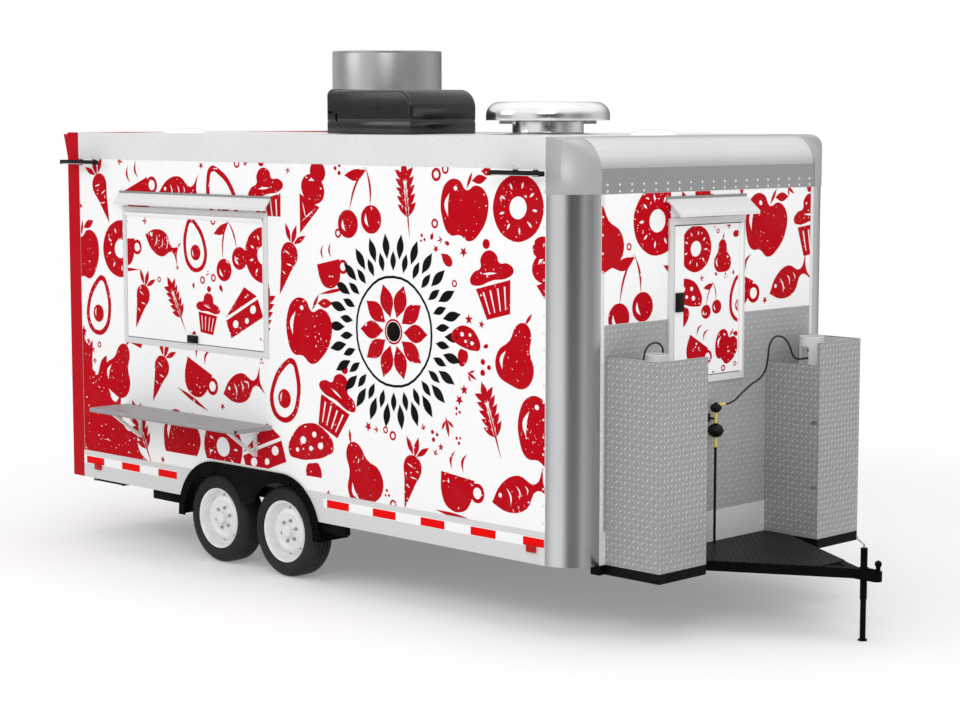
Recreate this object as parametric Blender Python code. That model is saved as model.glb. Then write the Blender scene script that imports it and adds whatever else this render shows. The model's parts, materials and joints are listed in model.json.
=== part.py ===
"""A tandem-axle food trailer, 16 feet by 8 feet, parked on its wheels and its tongue jack.

Metres, +Z up, +X towards the coupler, +Y to the trailer's left. The origin is on the
ground, at the centre of the underside of the jack's foot.
"""

import math

import bmesh
import bpy
from mathutils import Matrix, Vector

# Driving dimensions of the body
BODY_LENGTH = 4.88
BODY_WIDTH = 2.44
ROOF_HEIGHT = 2.87
BODY_BOTTOM = 0.415
WALL = 0.06
JACK_TO_BODY = 1.13
GAP = 0.0003
FACET_TURN = math.radians(3)
OVERRUN = 0.05

# Trim of the body
TRIM_PROUD = 0.004
SKIRT_HEIGHT = 0.192
TOP_RAIL_HEIGHT = 0.182
POST_RADIUS = 0.22
TOP_RADIUS_SHARE = 0.91
CAP_HEIGHT = 0.324
CAP_PROUD = 0.005
HOOP_DEPTH = 0.13
HOOP_FACE = 0.13
HOOP_FLANGE = 0.06
HEADER_HEIGHT = 0.196
HEADER_FLARE = 0.045
HEADER_DROP = 0.012
ROOF_THICKNESS = 0.05
ROOF_CROWN = 0.012
ROOF_STEP = 0.012

# Floor and chassis
FLOOR_THICKNESS = 0.06
CROSSMEMBER_HEIGHT = 0.05
CROSSMEMBER_WIDTH = 0.05
CROSSMEMBER_PITCH = 0.61
CHASSIS_RAIL_HEIGHT = 0.1
CHASSIS_RAIL_WIDTH = 0.06
CHASSIS_RAIL_FROM_SIDE = 0.36
CHASSIS_INSET = 0.08

# Running gear, placed from the rear face of the body
REAR_AXLE_FROM_REAR = 1.632
AXLE_SPACING = 0.684
TYRE_RADIUS = 0.301
TYRE_WIDTH = 0.19
WHEEL_INSET = 0.009
RIM_RADIUS = 0.203
TYRE_STEPS = 32
RIM_STEPS = 16
AXLE_RADIUS = 0.03
SPINDLE_RADIUS = 0.018
SPINDLE_CLEARANCE = 0.002
AXLE_END_CLEARANCE = 0.014
DRUM_RADIUS = 0.125
DRUM_DEPTH = 0.05
WHEEL_HOLE_RADIUS = 0.013
WHEEL_HOLES = 8
WHEEL_HOLE_SIDES = 6
SPRING_WIDTH = 0.045
SPRING_THICKNESS = 0.016
SPRING_HALF_LENGTH = 0.27
SPRING_RISE = 0.042
SPRING_SEAT = 0.012
HANGER_LENGTH = 0.05
EQUALISER_DROP = 0.03

# Tandem fender and the wheel boxes inside it
FENDER_RADIUS = 0.385
FENDER_SKIN = 0.008
FENDER_BAND = 0.058
FENDER_PROUD = 0.016
FENDER_FACE = 0.014
FENDER_DEPTH = 0.235
FENDER_LOW = 0.285
SKIRT_CUSP = 0.45
STUB_LENGTH = 0.23
STUB_REAR_LENGTH = 0.31
STUB_HEIGHT = 0.062
STUB_WIDTH = 0.05
WHEEL_BOX_MARGIN = 0.012
WHEEL_BOX_SKIN = 0.01
WHEEL_BOX_DEPTH = 0.25

# Drawbar, deck, coupler and jack
DRAWBAR_ANGLE = math.radians(30)
DRAWBAR_RAIL_WIDTH = 0.05
DRAWBAR_RAIL_HEIGHT = 0.058
DRAWBAR_UNDER_BODY = 0.38
DRAWBAR_TIP = 0.01
DECK_THICKNESS = 0.004
DECK_END = 0.215
COUPLER_BACK = 0.045
COUPLER_REACH = 0.119
COUPLER_WIDTH = 0.066
COUPLER_NECK_WIDTH = 0.054
COUPLER_NOSE_STEPS = 10
JACK_STEPS = 16
BALL_RADIUS = 0.0255
BALL_INSET = 0.037
BALL_DEPTH = 0.012
LATCH_POST_RADIUS = 0.013
LATCH_POST_HEIGHT = 0.022
LATCH_KNOB_RADIUS = 0.021
JACK_TUBE_RADIUS = 0.0205
JACK_TUBE_WALL = 0.0025
JACK_TUBE_TOP = 0.538
JACK_TUBE_BOTTOM = 0.24
JACK_CAP = 0.012
JACK_LEG_RADIUS = 0.0172
JACK_LEG_TOP = 0.3
JACK_FOOT_RADIUS = 0.027
JACK_FOOT_HEIGHT = 0.007
JACK_STROKE = 0.2
CRANK_RADIUS = 0.004
CRANK_RISE = 0.022
CRANK_ARM = 0.05

# Gas boxes, bottles, pipe and hoses
GAS_BOX_WIDTH = 0.415
GAS_BOX_DEPTH = 0.41
GAS_BOX_INNER_Y = 0.535
GAS_BOX_HEIGHT = 1.203
GAS_BOX_INNER_HEIGHT = 1.065
GAS_BOX_POST = 0.022
GAS_BOX_SKIN = 0.006
GAS_BOX_FLOOR_SKIN = 0.004
BOTTLE_RADIUS = 0.184
BOTTLE_FOOT_RADIUS = 0.15
BOTTLE_FOOT_HEIGHT = 0.03
BOTTLE_BODY_HEIGHT = 0.881
BOTTLE_SHOULDER = 0.14
BOTTLE_FRONT_GAP = 0.026
COLLAR_RADIUS = 0.076
COLLAR_SKIN = 0.004
COLLAR_HEIGHT = 0.195
COLLAR_WINDOW_WIDTH = 0.056
COLLAR_WINDOW_RISE = 0.025
COLLAR_WINDOW_HEIGHT = 0.11
VALVE_RADIUS = 0.018
VALVE_HEIGHT = 0.095
HANDWHEEL_RADIUS = 0.027
HANDWHEEL_HEIGHT = 0.022
OUTLET_RADIUS = 0.011
OUTLET_LENGTH = 0.034
OUTLET_RISE = 0.06
PIPE_RADIUS = 0.008
PIPE_STANDOFF = 0.062
PIPE_Y = -0.028
REGULATOR_BRACKET = 0.03
REGULATOR_BRACKET_THICKNESS = 0.01
HOSE_RADIUS = 0.006
HOSE_STRAIGHT = 0.012
HOSE_SPACING = 0.03

# Serving side
HATCH_FROM_REAR = 1.425
HATCH_WIDTH = 1.562
HATCH_BELOW_ROOF = 0.504
HATCH_HEIGHT = 0.945
HATCH_FACE = 0.04
HATCH_LINING = 0.018
HATCH_PROUD = 0.006
LEAF_THICKNESS = 0.045
LEAF_CLEARANCE = 0.006
LEAF_HINGE_PROUD = 0.012
LEAF_HINGE_RADIUS = 0.008
HATCH_LATCH_WIDTH = 0.095
HATCH_LATCH_HEIGHT = 0.05
HATCH_LATCH_PROUD = 0.018
DRIP_FROM_REAR = 1.426
DRIP_WIDTH = 1.63
DRIP_ABOVE_HATCH = 0.094
DRIP_REACH = 0.055
DRIP_DROP = 0.06
DRIP_LIP = 0.02
DRIP_SKIN = 0.005
SHELF_FROM_REAR = 1.437
SHELF_WIDTH = 1.575
SHELF_DEPTH = 0.31
SHELF_BELOW_HATCH = 0.433
SHELF_THICKNESS = 0.03
SHELF_BRACKET_SPACING = 1.25
SHELF_BRACKET_WIDTH = 0.03
SHELF_BRACKET_SKIN = 0.012
SHELF_LEG = 0.19
SHELF_BRACE_SHARE = 0.78
LAMP_WIDTH = 0.072
LAMP_HEIGHT = 0.034
LAMP_PROUD = 0.012
LAMP_RISE = 0.07
LAMP_INSET = 0.272
LAMP_FRONT_INSET = 0.283
FLOOD_LENGTH = 0.4
FLOOD_HEIGHT = 0.03
FLOOD_DEPTH = 0.045
FLOOD_STANDOFF = 0.055
FLOOD_BELOW_RAIL = 0.01
FLOOD_ARM = 0.02
FLOOD_ARM_INSET = 0.11
FLOOD_REAR_START = 0.04
FLOOD_FROM_FRONT = 0.58

# Front access hatch
ACCESS_WIDTH = 0.706
ACCESS_CENTRE_Y = -0.058
ACCESS_BELOW_ROOF = 0.48
ACCESS_HEIGHT = 0.99
ACCESS_PROUD = 0.015
ACCESS_HANDLE_WIDTH = 0.065
ACCESS_HANDLE_HEIGHT = 0.11
ACCESS_HANDLE_PROUD = 0.012
ACCESS_DRIP_WIDTH = 0.745
ACCESS_DRIP_RISE = 0.115
ACCESS_DRIP_REACH = 0.11
ACCESS_DRIP_DROP = 0.085

# Rear
REAR_WALL_THICKNESS = 0.05
REAR_WALL_INSET = 0.005
DOOR_WIDTH = 0.87
DOOR_SILL = 0.035
DOOR_BELOW_ROOF = 0.33
DOOR_HANDLE_RISE = 0.84
DOOR_HANDLE_LENGTH = 0.12
DOOR_HANDLE_WIDTH = 0.035
DOOR_HANDLE_PROUD = 0.03
TAIL_LAMP_WIDTH = 0.07
TAIL_LAMP_HEIGHT = 0.16
TAIL_LAMP_RISE = 0.305
TAIL_LAMP_PROUD = 0.02
STABILISER_FROM_SIDE = 0.14
STABILISER_FROM_REAR = 0.1
STABILISER_DROP = 0.031
STABILISER_LENGTH = 0.33
STABILISER_HEIGHT = 0.036
STABILISER_WIDTH = 0.04
STABILISER_EAR = 0.006
STABILISER_EAR_GAP = 0.005
STABILISER_FOOT = 0.075
STABILISER_FOOT_THICKNESS = 0.008

# Roof fittings
AC_FROM_REAR = 2.48
AC_Y = -0.3
AC_LENGTH = 0.82
AC_WIDTH = 0.6
AC_HEIGHT = 0.285
AC_TAIL_SHARE = 0.9
AC_CORNER_RADIUS = 0.09
AC_TOP_RADIUS = 0.075
AC_BASE_HEIGHT = 0.07
AC_BASE_INSET = 0.018
EXHAUST_FROM_REAR = 1.567
EXHAUST_Y = 0.42
EXHAUST_RADIUS = 0.388
EXHAUST_SKIN = 0.008
EXHAUST_HEIGHT = 0.57
CURB_SIZE = 0.6
CURB_HEIGHT = 0.035
DUCT_RADIUS = 0.23
FAN_MOTOR_RADIUS = 0.075
FAN_MOTOR_HEIGHT = 0.14
FAN_MOTOR_RISE = 0.09
STRUT_WIDTH = 0.025
STRUT_HEIGHT = 0.03
FAN_HUB_RADIUS = 0.07
FAN_HUB_HEIGHT = 0.06
FAN_HUB_GAP = 0.012
FAN_SHAFT_RADIUS = 0.012
FAN_TIP_GAP = 0.02
FAN_BLADES = 6
BLADE_CHORD = 0.13
BLADE_THICKNESS = 0.006
BLADE_PITCH = math.radians(28)
VENTILATOR_FROM_REAR = 3.528
VENTILATOR_Y = 0.0
VENTILATOR_NECK_RADIUS = 0.228
VENTILATOR_SKIN = 0.006
VENTILATOR_DUCT_RADIUS = 0.17
VENTILATOR_CAP_RADIUS = 0.395
VENTILATOR_HEIGHT = 0.204
VENTILATOR_CAP_DEPTH = 0.117
VENTILATOR_CAP_ROUND = 0.085
VENTILATOR_NECK_HEIGHT = 0.13
VENTILATOR_FLANGE = 0.05
VENTILATOR_RIBS = 4
VENTILATOR_RIB_THICKNESS = 0.01
VENT_RADIUS = 0.155
VENT_HEIGHT = 0.034
VENT_REAR_PLACE = (0.75, -0.75)
VENT_FRONT_PLACE = (4.2, 0.25)

# Values that follow from the ones above
FRONT_X = -JACK_TO_BODY
REAR_X = FRONT_X - BODY_LENGTH
SIDE_Y = BODY_WIDTH / 2
POST_X = FRONT_X - POST_RADIUS
POST_Y = SIDE_Y - POST_RADIUS
TOP_RADIUS = POST_RADIUS * TOP_RADIUS_SHARE
TOP_RAIL_LOW = ROOF_HEIGHT - TOP_RAIL_HEIGHT
SKIRT_TOP = BODY_BOTTOM + SKIRT_HEIGHT
CAP_LOW = ROOF_HEIGHT - CAP_HEIGHT
WALL_START_X = REAR_X + HOOP_DEPTH
WALL_END_X = POST_X - GAP
WHEEL_Z = TYRE_RADIUS * math.cos(math.pi / TYRE_STEPS)
REAR_AXLE_X = REAR_X + REAR_AXLE_FROM_REAR
FRONT_AXLE_X = REAR_AXLE_X + AXLE_SPACING
DRAWBAR_TOP = BODY_BOTTOM - GAP
DRAWBAR_LOW = DRAWBAR_TOP - DRAWBAR_RAIL_HEIGHT
CHASSIS_LOW = BODY_BOTTOM
CHASSIS_TOP = CHASSIS_LOW + CHASSIS_RAIL_HEIGHT
CROSSMEMBER_LOW = CHASSIS_TOP + GAP
FLOOR_LOW = CROSSMEMBER_LOW + CROSSMEMBER_HEIGHT
FLOOR_TOP = FLOOR_LOW + FLOOR_THICKNESS
INNER_Y = SIDE_Y - WALL - GAP
CHASSIS_RAIL_Y = SIDE_Y - CHASSIS_RAIL_FROM_SIDE
STABILISER_Y = SIDE_Y - STABILISER_FROM_SIDE
STABILISER_Z = BODY_BOTTOM - STABILISER_DROP
DECK_LOW = DRAWBAR_TOP + GAP
DECK_TOP = DECK_LOW + DECK_THICKNESS
GAS_BOX_FLOOR = DRAWBAR_TOP
BOTTLE_FOOT = GAS_BOX_FLOOR + GAS_BOX_FLOOR_SKIN + GAP
GAS_BOX_OUTER_Y = GAS_BOX_INNER_Y + GAS_BOX_WIDTH
HATCH_TOP = ROOF_HEIGHT - HATCH_BELOW_ROOF
HATCH_LOW = HATCH_TOP - HATCH_HEIGHT
SHELF_TOP = HATCH_LOW - SHELF_BELOW_HATCH
ACCESS_TOP = ROOF_HEIGHT - ACCESS_BELOW_ROOF
ACCESS_LOW = ACCESS_TOP - ACCESS_HEIGHT
DOOR_LOW = FLOOR_TOP + DOOR_SILL
DOOR_TOP = ROOF_HEIGHT - DOOR_BELOW_ROOF
ROOF_FOOT = ROOF_HEIGHT - ROOF_STEP + ROOF_CROWN + GAP
GAS_BOX_FRONT_X = FRONT_X + GAS_BOX_DEPTH
BOTTLE_X = GAS_BOX_FRONT_X - GAS_BOX_SKIN - BOTTLE_FRONT_GAP - BOTTLE_RADIUS
BOTTLE_Y = GAS_BOX_INNER_Y + GAS_BOX_WIDTH / 2
BOTTLE_BODY_TOP = BOTTLE_FOOT + BOTTLE_BODY_HEIGHT
BOTTLE_TOP = BOTTLE_BODY_TOP + BOTTLE_SHOULDER
GAS_BOX_TOP = GAS_BOX_FLOOR + GAS_BOX_HEIGHT
GAS_BOX_INNER_TOP = GAS_BOX_FLOOR + GAS_BOX_INNER_HEIGHT
OUTLET_Z = BOTTLE_TOP + OUTLET_RISE
PIPE_X = FRONT_X + PIPE_STANDOFF

# Outlines as shares of the size that each follows
TYRE_PROFILE_SHARES = (
    (0.0, 0.16), (0.1, 0.1), (0.45, 0.0), (0.85, 0.07), (1.0, 0.26),
    (1.0, 0.74), (0.85, 0.93), (0.45, 1.0), (0.1, 0.9), (0.0, 0.84),
)
RIM_OUTSIDE_SHARES = (
    (0.95, 0.1), (0.95, 0.86), (1.0, 0.9), (1.0, 0.95), (0.95, 0.95), (0.86, 0.8), (0.82, 0.64),
    (0.62, 0.76), (0.46, 0.68), (0.36, 0.7), (0.22, 0.72), (0.2, 0.86), (0.0, 0.9),
)
RIM_DISC_BACK_SHARES = ((0.58, 0.66), (0.8, 0.54), (0.89, 0.5), (0.89, 0.1))
BORE_DEPTH_SHARE = 0.6
DRUM_TOP_SHARE = 0.1
REGULATOR_SHARES = (
    (0.24, 0.0), (0.24, 0.13), (0.5, 0.15), (0.95, 0.22), (1.0, 0.3), (1.0, 0.42), (0.55, 0.48),
    (0.22, 0.49), (0.22, 0.75), (0.5, 0.76), (0.66, 0.8), (0.66, 0.9), (0.45, 0.98), (0.0, 1.0),
)
REGULATOR_LOW = 1.01
REGULATOR_HEIGHT = 0.274
REGULATOR_RADIUS = 0.055
ELBOW_RADIUS = 0.011
ELBOW_LENGTH = 0.086
ELBOW_HEIGHT_SHARE = 0.92
BRACKET_SHARE = 0.62

# Routes of the two gas hoses: places of their own, past the fittings that they join
RIGHT_SIDE_HOSE = (
    (-1.058, 0.09, 1.264), (-1.05, 0.14, 1.285), (-1.042, 0.2, 1.325), (-1.03, 0.26, 1.365),
    (-1.01, 0.32, 1.4), (-0.995, 0.355, 1.45), (-0.985, 0.365, 1.52), (-0.98, 0.37, 1.59),
    (-0.975, 0.4, 1.64), (-0.97, 0.45, 1.652), (-0.965, 0.51, 1.63), (-0.958, 0.548, 1.58),
    (-0.95, 0.566, 1.53), (-0.943, 0.59, 1.506), (-0.937, 0.63, 1.5),
)
LEFT_SIDE_HOSE = (
    (0.0, -0.0672, 1.504), (0.0, -0.0856, 1.516), (0.0, -0.0974, 1.534), (0.0, -0.1015, 1.555),
    (-0.002, -0.1015, 1.588), (-0.004, -0.1, 1.622), (-0.006, -0.0835, 1.662), (-0.01, -0.0455, 1.689),
    (-0.016, 0.007, 1.698), (-0.024, 0.06, 1.687), (-0.033, 0.0985, 1.6575), (-0.043, 0.1125, 1.62),
    (-0.054, 0.1145, 1.585), (-0.064, 0.115, 1.55), (-0.073, 0.115, 1.52), (-0.083, 0.115, 1.492),
    (-0.1, 0.115, 1.4695), (-0.124, 0.115, 1.4555), (-0.155, 0.115, 1.45),
)


def clear_scene():
    for obj in list(bpy.data.objects):
        bpy.data.objects.remove(obj, do_unlink=True)


def material(name, colour, roughness, metallic):
    made = bpy.data.materials.get(name)
    if made:
        return made
    made = bpy.data.materials.new(name)
    made.use_nodes = True
    shader = made.node_tree.nodes["Principled BSDF"]
    shader.inputs["Base Color"].default_value = (*colour, 1.0)
    shader.inputs["Roughness"].default_value = roughness
    shader.inputs["Metallic"].default_value = metallic
    return made


def red_paint():
    return material("red_paint", (0.5, 0.004, 0.012), 0.35, 0.0)


def white_skin():
    return material("white_skin", (0.86, 0.86, 0.86), 0.4, 0.0)


def pale_trim():
    return material("pale_trim", (0.62, 0.62, 0.62), 0.45, 0.1)


def black_paint():
    return material("black_paint", (0.012, 0.012, 0.012), 0.5, 0.0)


def black_plastic():
    return material("black_plastic", (0.02, 0.02, 0.02), 0.35, 0.0)


def brushed_aluminium():
    return material("brushed_aluminium", (0.6, 0.6, 0.61), 0.32, 1.0)


def chrome():
    return material("chrome", (0.8, 0.8, 0.81), 0.08, 1.0)


def diamond_plate():
    return material("diamond_plate", (0.42, 0.42, 0.43), 0.4, 1.0)


def shelf_metal():
    return material("shelf_metal", (0.3, 0.3, 0.3), 0.45, 0.6)


def tyre_rubber():
    return material("tyre_rubber", (0.03, 0.03, 0.03), 0.85, 0.0)


def wheel_paint():
    return material("wheel_paint", (0.8, 0.8, 0.8), 0.35, 0.0)


def bottle_paint():
    return material("bottle_paint", (0.8, 0.8, 0.81), 0.35, 0.2)


def hose_rubber():
    return material("hose_rubber", (0.02, 0.02, 0.02), 0.6, 0.0)


def face_outwards(shape):
    shape.normal_update()
    bmesh.ops.recalc_face_normals(shape, faces=shape.faces)
    if shape.calc_volume(signed=True) < 0:
        bmesh.ops.reverse_faces(shape, faces=shape.faces)


def block(low, high):
    """A box between two corners."""
    shape = bmesh.new()
    size = [end - start for start, end in zip(low, high)]
    middle = [(start + end) / 2 for start, end in zip(low, high)]
    matrix = Matrix.Translation(middle) @ Matrix.Diagonal((*size, 1.0))
    bmesh.ops.create_cube(shape, size=1.0, matrix=matrix)
    return shape


def prism(outline, axis, start, end):
    """A closed outline of two coordinates, drawn out along the third axis."""
    index = "XYZ".index(axis)
    shape = bmesh.new()
    rings = []
    for place in (start, end):
        ring = []
        for first, second in outline:
            point = [first, second]
            point.insert(index, place)
            ring.append(shape.verts.new(point))
        rings.append(ring)
    shape.faces.new(rings[0])
    shape.faces.new(rings[1])
    count = len(outline)
    for number in range(count):
        following = (number + 1) % count
        shape.faces.new((rings[0][number], rings[0][following], rings[1][following], rings[1][number]))
    face_outwards(shape)
    return shape


def turned(profile, steps, matrix=Matrix(), start=0.0, sweep=math.tau):
    """A closed profile of radius and height, turned about +Z and then placed by the matrix."""
    shape = bmesh.new()
    full = math.isclose(sweep, math.tau)
    columns = steps if full else steps + 1
    rings = []
    for column in range(columns):
        angle = start + sweep * column / steps
        ring = []
        for radius, height in profile:
            ring.append(shape.verts.new((radius * math.cos(angle), radius * math.sin(angle), height)))
        rings.append(ring)
    count = len(profile)
    for column in range(steps):
        here = rings[column]
        there = rings[(column + 1) % columns]
        for number in range(count):
            following = (number + 1) % count
            if profile[number][0] == 0 and profile[following][0] == 0:
                continue
            shape.faces.new((here[number], there[number], there[following], here[following]))
    if not full:
        shape.faces.new(rings[0])
        shape.faces.new(rings[-1])
    bmesh.ops.remove_doubles(shape, verts=shape.verts, dist=GAP / 10)
    bmesh.ops.dissolve_degenerate(shape, edges=shape.edges, dist=GAP / 10)
    face_outwards(shape)
    bmesh.ops.transform(shape, matrix=matrix, verts=shape.verts)
    return shape


def arc(centre, radii, start, end, steps):
    """Points of an arc, or of an ellipse's quarter where the two radii differ."""
    points = []
    for step in range(steps + 1):
        angle = start + (end - start) * step / steps
        across = centre[0] + radii[0] * math.cos(angle)
        along = centre[1] + radii[1] * math.sin(angle)
        points.append((across, along))
    return points


def along_y(place, outward):
    """Turns +Z to point along Y, outward being 1 to the left or -1 to the right."""
    return Matrix.Translation(place) @ Matrix.Rotation(-outward * math.pi / 2, 4, "X")


def solid(name, shape, finish, smooth=False, parent=None):
    """One named node from a bmesh, with its own material."""
    mesh = bpy.data.meshes.new(name)
    shape.to_mesh(mesh)
    shape.free()
    obj = bpy.data.objects.new(name, mesh)
    bpy.context.scene.collection.objects.link(obj)
    obj.data.materials.append(finish)
    if smooth:
        mesh.shade_smooth()
        mesh.set_sharp_from_angle(angle=math.radians(35))
    if parent:
        set_on_axis(obj, parent)
    return obj


def set_on_axis(obj, pivot):
    """Parents a moving piece to the empty on its joint's axis, with its mesh kept in place."""
    obj.parent = pivot
    obj.data.transform(Matrix.Translation(-pivot.location))


def pivot(name, place):
    empty = bpy.data.objects.new(name, None)
    empty.location = place
    bpy.context.scene.collection.objects.link(empty)
    return empty


def combine(obj, shape, operation):
    """Adds or cuts a second shape, which stays hidden as the modifier's helper."""
    number = len(obj.modifiers) + 1
    helper = bpy.data.objects.new(f"{obj.name}_{operation.lower()}_{number}", bpy.data.meshes.new("helper"))
    shape.to_mesh(helper.data)
    shape.free()
    bpy.context.scene.collection.objects.link(helper)
    if obj.parent:
        set_on_axis(helper, obj.parent)
    helper.hide_render = True
    helper.display_type = "WIRE"
    modifier = obj.modifiers.new(f"{operation.lower()}_{number}", "BOOLEAN")
    modifier.operation = operation
    modifier.object = helper
    modifier.solver = "EXACT"


def cut(obj, shape):
    combine(obj, shape, "DIFFERENCE")


def fuse(obj, shape):
    combine(obj, shape, "UNION")


def merged(shapes):
    """Several closed shapes in one bmesh, for one Boolean with bodies that don't touch."""
    whole = bmesh.new()
    for shape in shapes:
        piece = bpy.data.meshes.new("piece")
        shape.to_mesh(piece)
        shape.free()
        whole.from_mesh(piece)
        bpy.data.meshes.remove(piece)
    return whole


def tandem_arch(radius, low):
    """The outline over both wheels in X and Z: a quarter arc, a flat top and a quarter arc."""
    points = [(REAR_AXLE_X - radius, low)]
    points += arc((REAR_AXLE_X, WHEEL_Z), (radius, radius), math.pi, math.pi / 2, 8)
    points += arc((FRONT_AXLE_X, WHEEL_Z), (radius, radius), math.pi / 2, 0, 8)
    points.append((FRONT_AXLE_X + radius, low))
    return points


def mirrored(low_y, high_y, side):
    """The Y range of a piece on one side, side being 1 on the left and -1 on the right."""
    return (low_y, high_y) if side > 0 else (-high_y, -low_y)


def side_block(side, x_range, y_range, z_range):
    low_y, high_y = mirrored(*y_range, side)
    return block((x_range[0], low_y, z_range[0]), (x_range[1], high_y, z_range[1]))


def floor_pan():
    """The deck with round front corners inside the posts, its cross-members and wheel boxes."""
    half = INNER_Y
    start = REAR_X + HOOP_FLANGE + GAP
    front = POST_X - GAP
    corner = (POST_RADIUS - WALL - GAP, POST_RADIUS - WALL - GAP)
    outline = [(start, -half)] + arc((POST_X, -POST_Y), corner, -math.pi / 2, 0, 6)
    outline += arc((POST_X, POST_Y), corner, 0, math.pi / 2, 6) + [(start, half)]
    floor = solid("floor_pan", prism(outline, "Z", FLOOR_LOW, FLOOR_TOP), pale_trim())
    ribs = int((front - start - CROSSMEMBER_WIDTH) / CROSSMEMBER_PITCH) + 1
    members = []
    for number in range(ribs):
        left = start + number * CROSSMEMBER_PITCH
        low = (left, -half, CROSSMEMBER_LOW)
        high = (left + CROSSMEMBER_WIDTH, half, FLOOR_LOW + FLOOR_THICKNESS / 2)
        members.append(block(low, high))
    fuse(floor, merged(members))
    reach = FENDER_RADIUS + WHEEL_BOX_MARGIN
    top = WHEEL_Z + reach
    depth = SIDE_Y - WHEEL_BOX_DEPTH
    skin = WHEEL_BOX_SKIN
    shells = []
    hollows = []
    for side in (-1, 1):
        x_shell = (REAR_AXLE_X - reach - skin, FRONT_AXLE_X + reach + skin)
        shells.append(side_block(side, x_shell, (depth - skin, half), (CROSSMEMBER_LOW, top + skin)))
        x_hollow = (REAR_AXLE_X - reach, FRONT_AXLE_X + reach)
        hollows.append(side_block(side, x_hollow, (depth, half + OVERRUN), (BODY_BOTTOM, top)))
    fuse(floor, merged(shells))
    cut(floor, merged(hollows))
    fuse(floor, merged(stabiliser_ears()))


def stabiliser_ears():
    """Two hanging plates at each rear corner, which carry a stabiliser leg between them."""
    x_low = REAR_X + STABILISER_FROM_REAR - STABILISER_HEIGHT / 2
    x_high = x_low + STABILISER_HEIGHT
    z_low = STABILISER_Z - STABILISER_HEIGHT / 2
    inner = STABILISER_WIDTH / 2 + STABILISER_EAR_GAP
    ears = []
    for side in (-1, 1):
        for offset in (-inner - STABILISER_EAR, inner):
            y_low = side * STABILISER_Y + offset
            low = (x_low, y_low, z_low)
            ears.append(block(low, (x_high, y_low + STABILISER_EAR, FLOOR_LOW + GAP)))
    return ears


def chassis_rails():
    half = CHASSIS_RAIL_WIDTH / 2
    for side, word in ((1, "left"), (-1, "right")):
        x_range = (REAR_X + CHASSIS_INSET, FRONT_X - CHASSIS_INSET)
        y_range = (CHASSIS_RAIL_Y - half, CHASSIS_RAIL_Y + half)
        rail = side_block(side, x_range, y_range, (CHASSIS_LOW, CHASSIS_TOP))
        solid(f"chassis_rail_{word}", rail, black_paint())


def drawbar_edge(x, offset):
    """Y of the drawbar rail's outer edge at x, moved inwards by an offset square to the rail."""
    return (-DRAWBAR_TIP - x) * math.tan(DRAWBAR_ANGLE) - offset / math.cos(DRAWBAR_ANGLE)


def drawbar_rails():
    """Each rail runs at the drawbar's angle and lies under the chassis rails at its rear."""
    back = FRONT_X - DRAWBAR_UNDER_BODY
    tip = -COUPLER_BACK - GAP
    centre = GAP / 2
    inner_end = -DRAWBAR_TIP - (DRAWBAR_RAIL_WIDTH / math.cos(DRAWBAR_ANGLE) + centre) / math.tan(DRAWBAR_ANGLE)
    for side, word in ((1, "left"), (-1, "right")):
        outline = [
            (back, side * drawbar_edge(back, 0)),
            (tip, side * drawbar_edge(tip, 0)),
            (tip, side * centre),
            (inner_end, side * centre),
            (back, side * drawbar_edge(back, DRAWBAR_RAIL_WIDTH)),
        ]
        rail = prism(outline, "Z", DRAWBAR_LOW, DRAWBAR_TOP - GAP)
        solid(f"drawbar_rail_{word}", rail, black_paint())


def drawbar_deck():
    """A plate on the rails, cut back at the gas boxes and short of the tip."""
    edge = GAS_BOX_INNER_Y - GAP
    meet = -DRAWBAR_TIP - edge / math.tan(DRAWBAR_ANGLE)
    front = -DECK_END
    back = FRONT_X + GAP
    half = [(back, edge), (meet, edge), (front, drawbar_edge(front, 0))]
    outline = half + [(x, -y) for x, y in reversed(half)]
    solid("drawbar_deck", prism(outline, "Z", DECK_LOW, DECK_TOP), black_paint())


def coupler():
    """A pressed body with a ball socket open below, a jack hole and the latch with its knob."""
    nose = COUPLER_WIDTH / 2
    neck = COUPLER_NECK_WIDTH / 2
    back = -COUPLER_BACK
    centre = COUPLER_REACH - nose
    outline = [(back, neck), (back, -neck)]
    outline += arc((centre, 0), (nose, nose), -math.pi / 2, math.pi / 2, COUPLER_NOSE_STEPS)
    body = solid("coupler", prism(outline, "Z", DRAWBAR_LOW, DRAWBAR_TOP), black_paint())
    ball = COUPLER_REACH - BALL_INSET
    socket_profile = [(0, DRAWBAR_LOW - OVERRUN), (BALL_RADIUS, DRAWBAR_LOW - OVERRUN)]
    quarter = arc((0, DRAWBAR_LOW + BALL_DEPTH), (BALL_RADIUS, BALL_RADIUS), 0, math.pi / 2, 4)
    socket_profile += quarter[:-1] + [(0, DRAWBAR_LOW + BALL_DEPTH + BALL_RADIUS)]
    cut(body, turned(socket_profile, 16, Matrix.Translation((ball, 0, 0))))
    hole = JACK_TUBE_RADIUS + GAP
    hole_profile = [(0, DRAWBAR_LOW - OVERRUN), (hole, DRAWBAR_LOW - OVERRUN)]
    hole_profile += [(hole, DRAWBAR_TOP + OVERRUN), (0, DRAWBAR_TOP + OVERRUN)]
    cut(body, turned(hole_profile, JACK_STEPS))
    top = DRAWBAR_TOP + LATCH_POST_HEIGHT
    post_low = DRAWBAR_TOP - GAP
    latch = [(0, post_low), (LATCH_POST_RADIUS, post_low), (LATCH_POST_RADIUS, top)]
    knob = arc((0, top + LATCH_KNOB_RADIUS), (LATCH_KNOB_RADIUS, LATCH_KNOB_RADIUS), -1.2, math.pi / 2, 6)
    latch += knob[1:-1] + [(0, top + 2 * LATCH_KNOB_RADIUS)]
    latch_x = COUPLER_REACH - LATCH_KNOB_RADIUS
    fuse(body, turned(latch, 12, Matrix.Translation((latch_x, 0, 0))))


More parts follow.
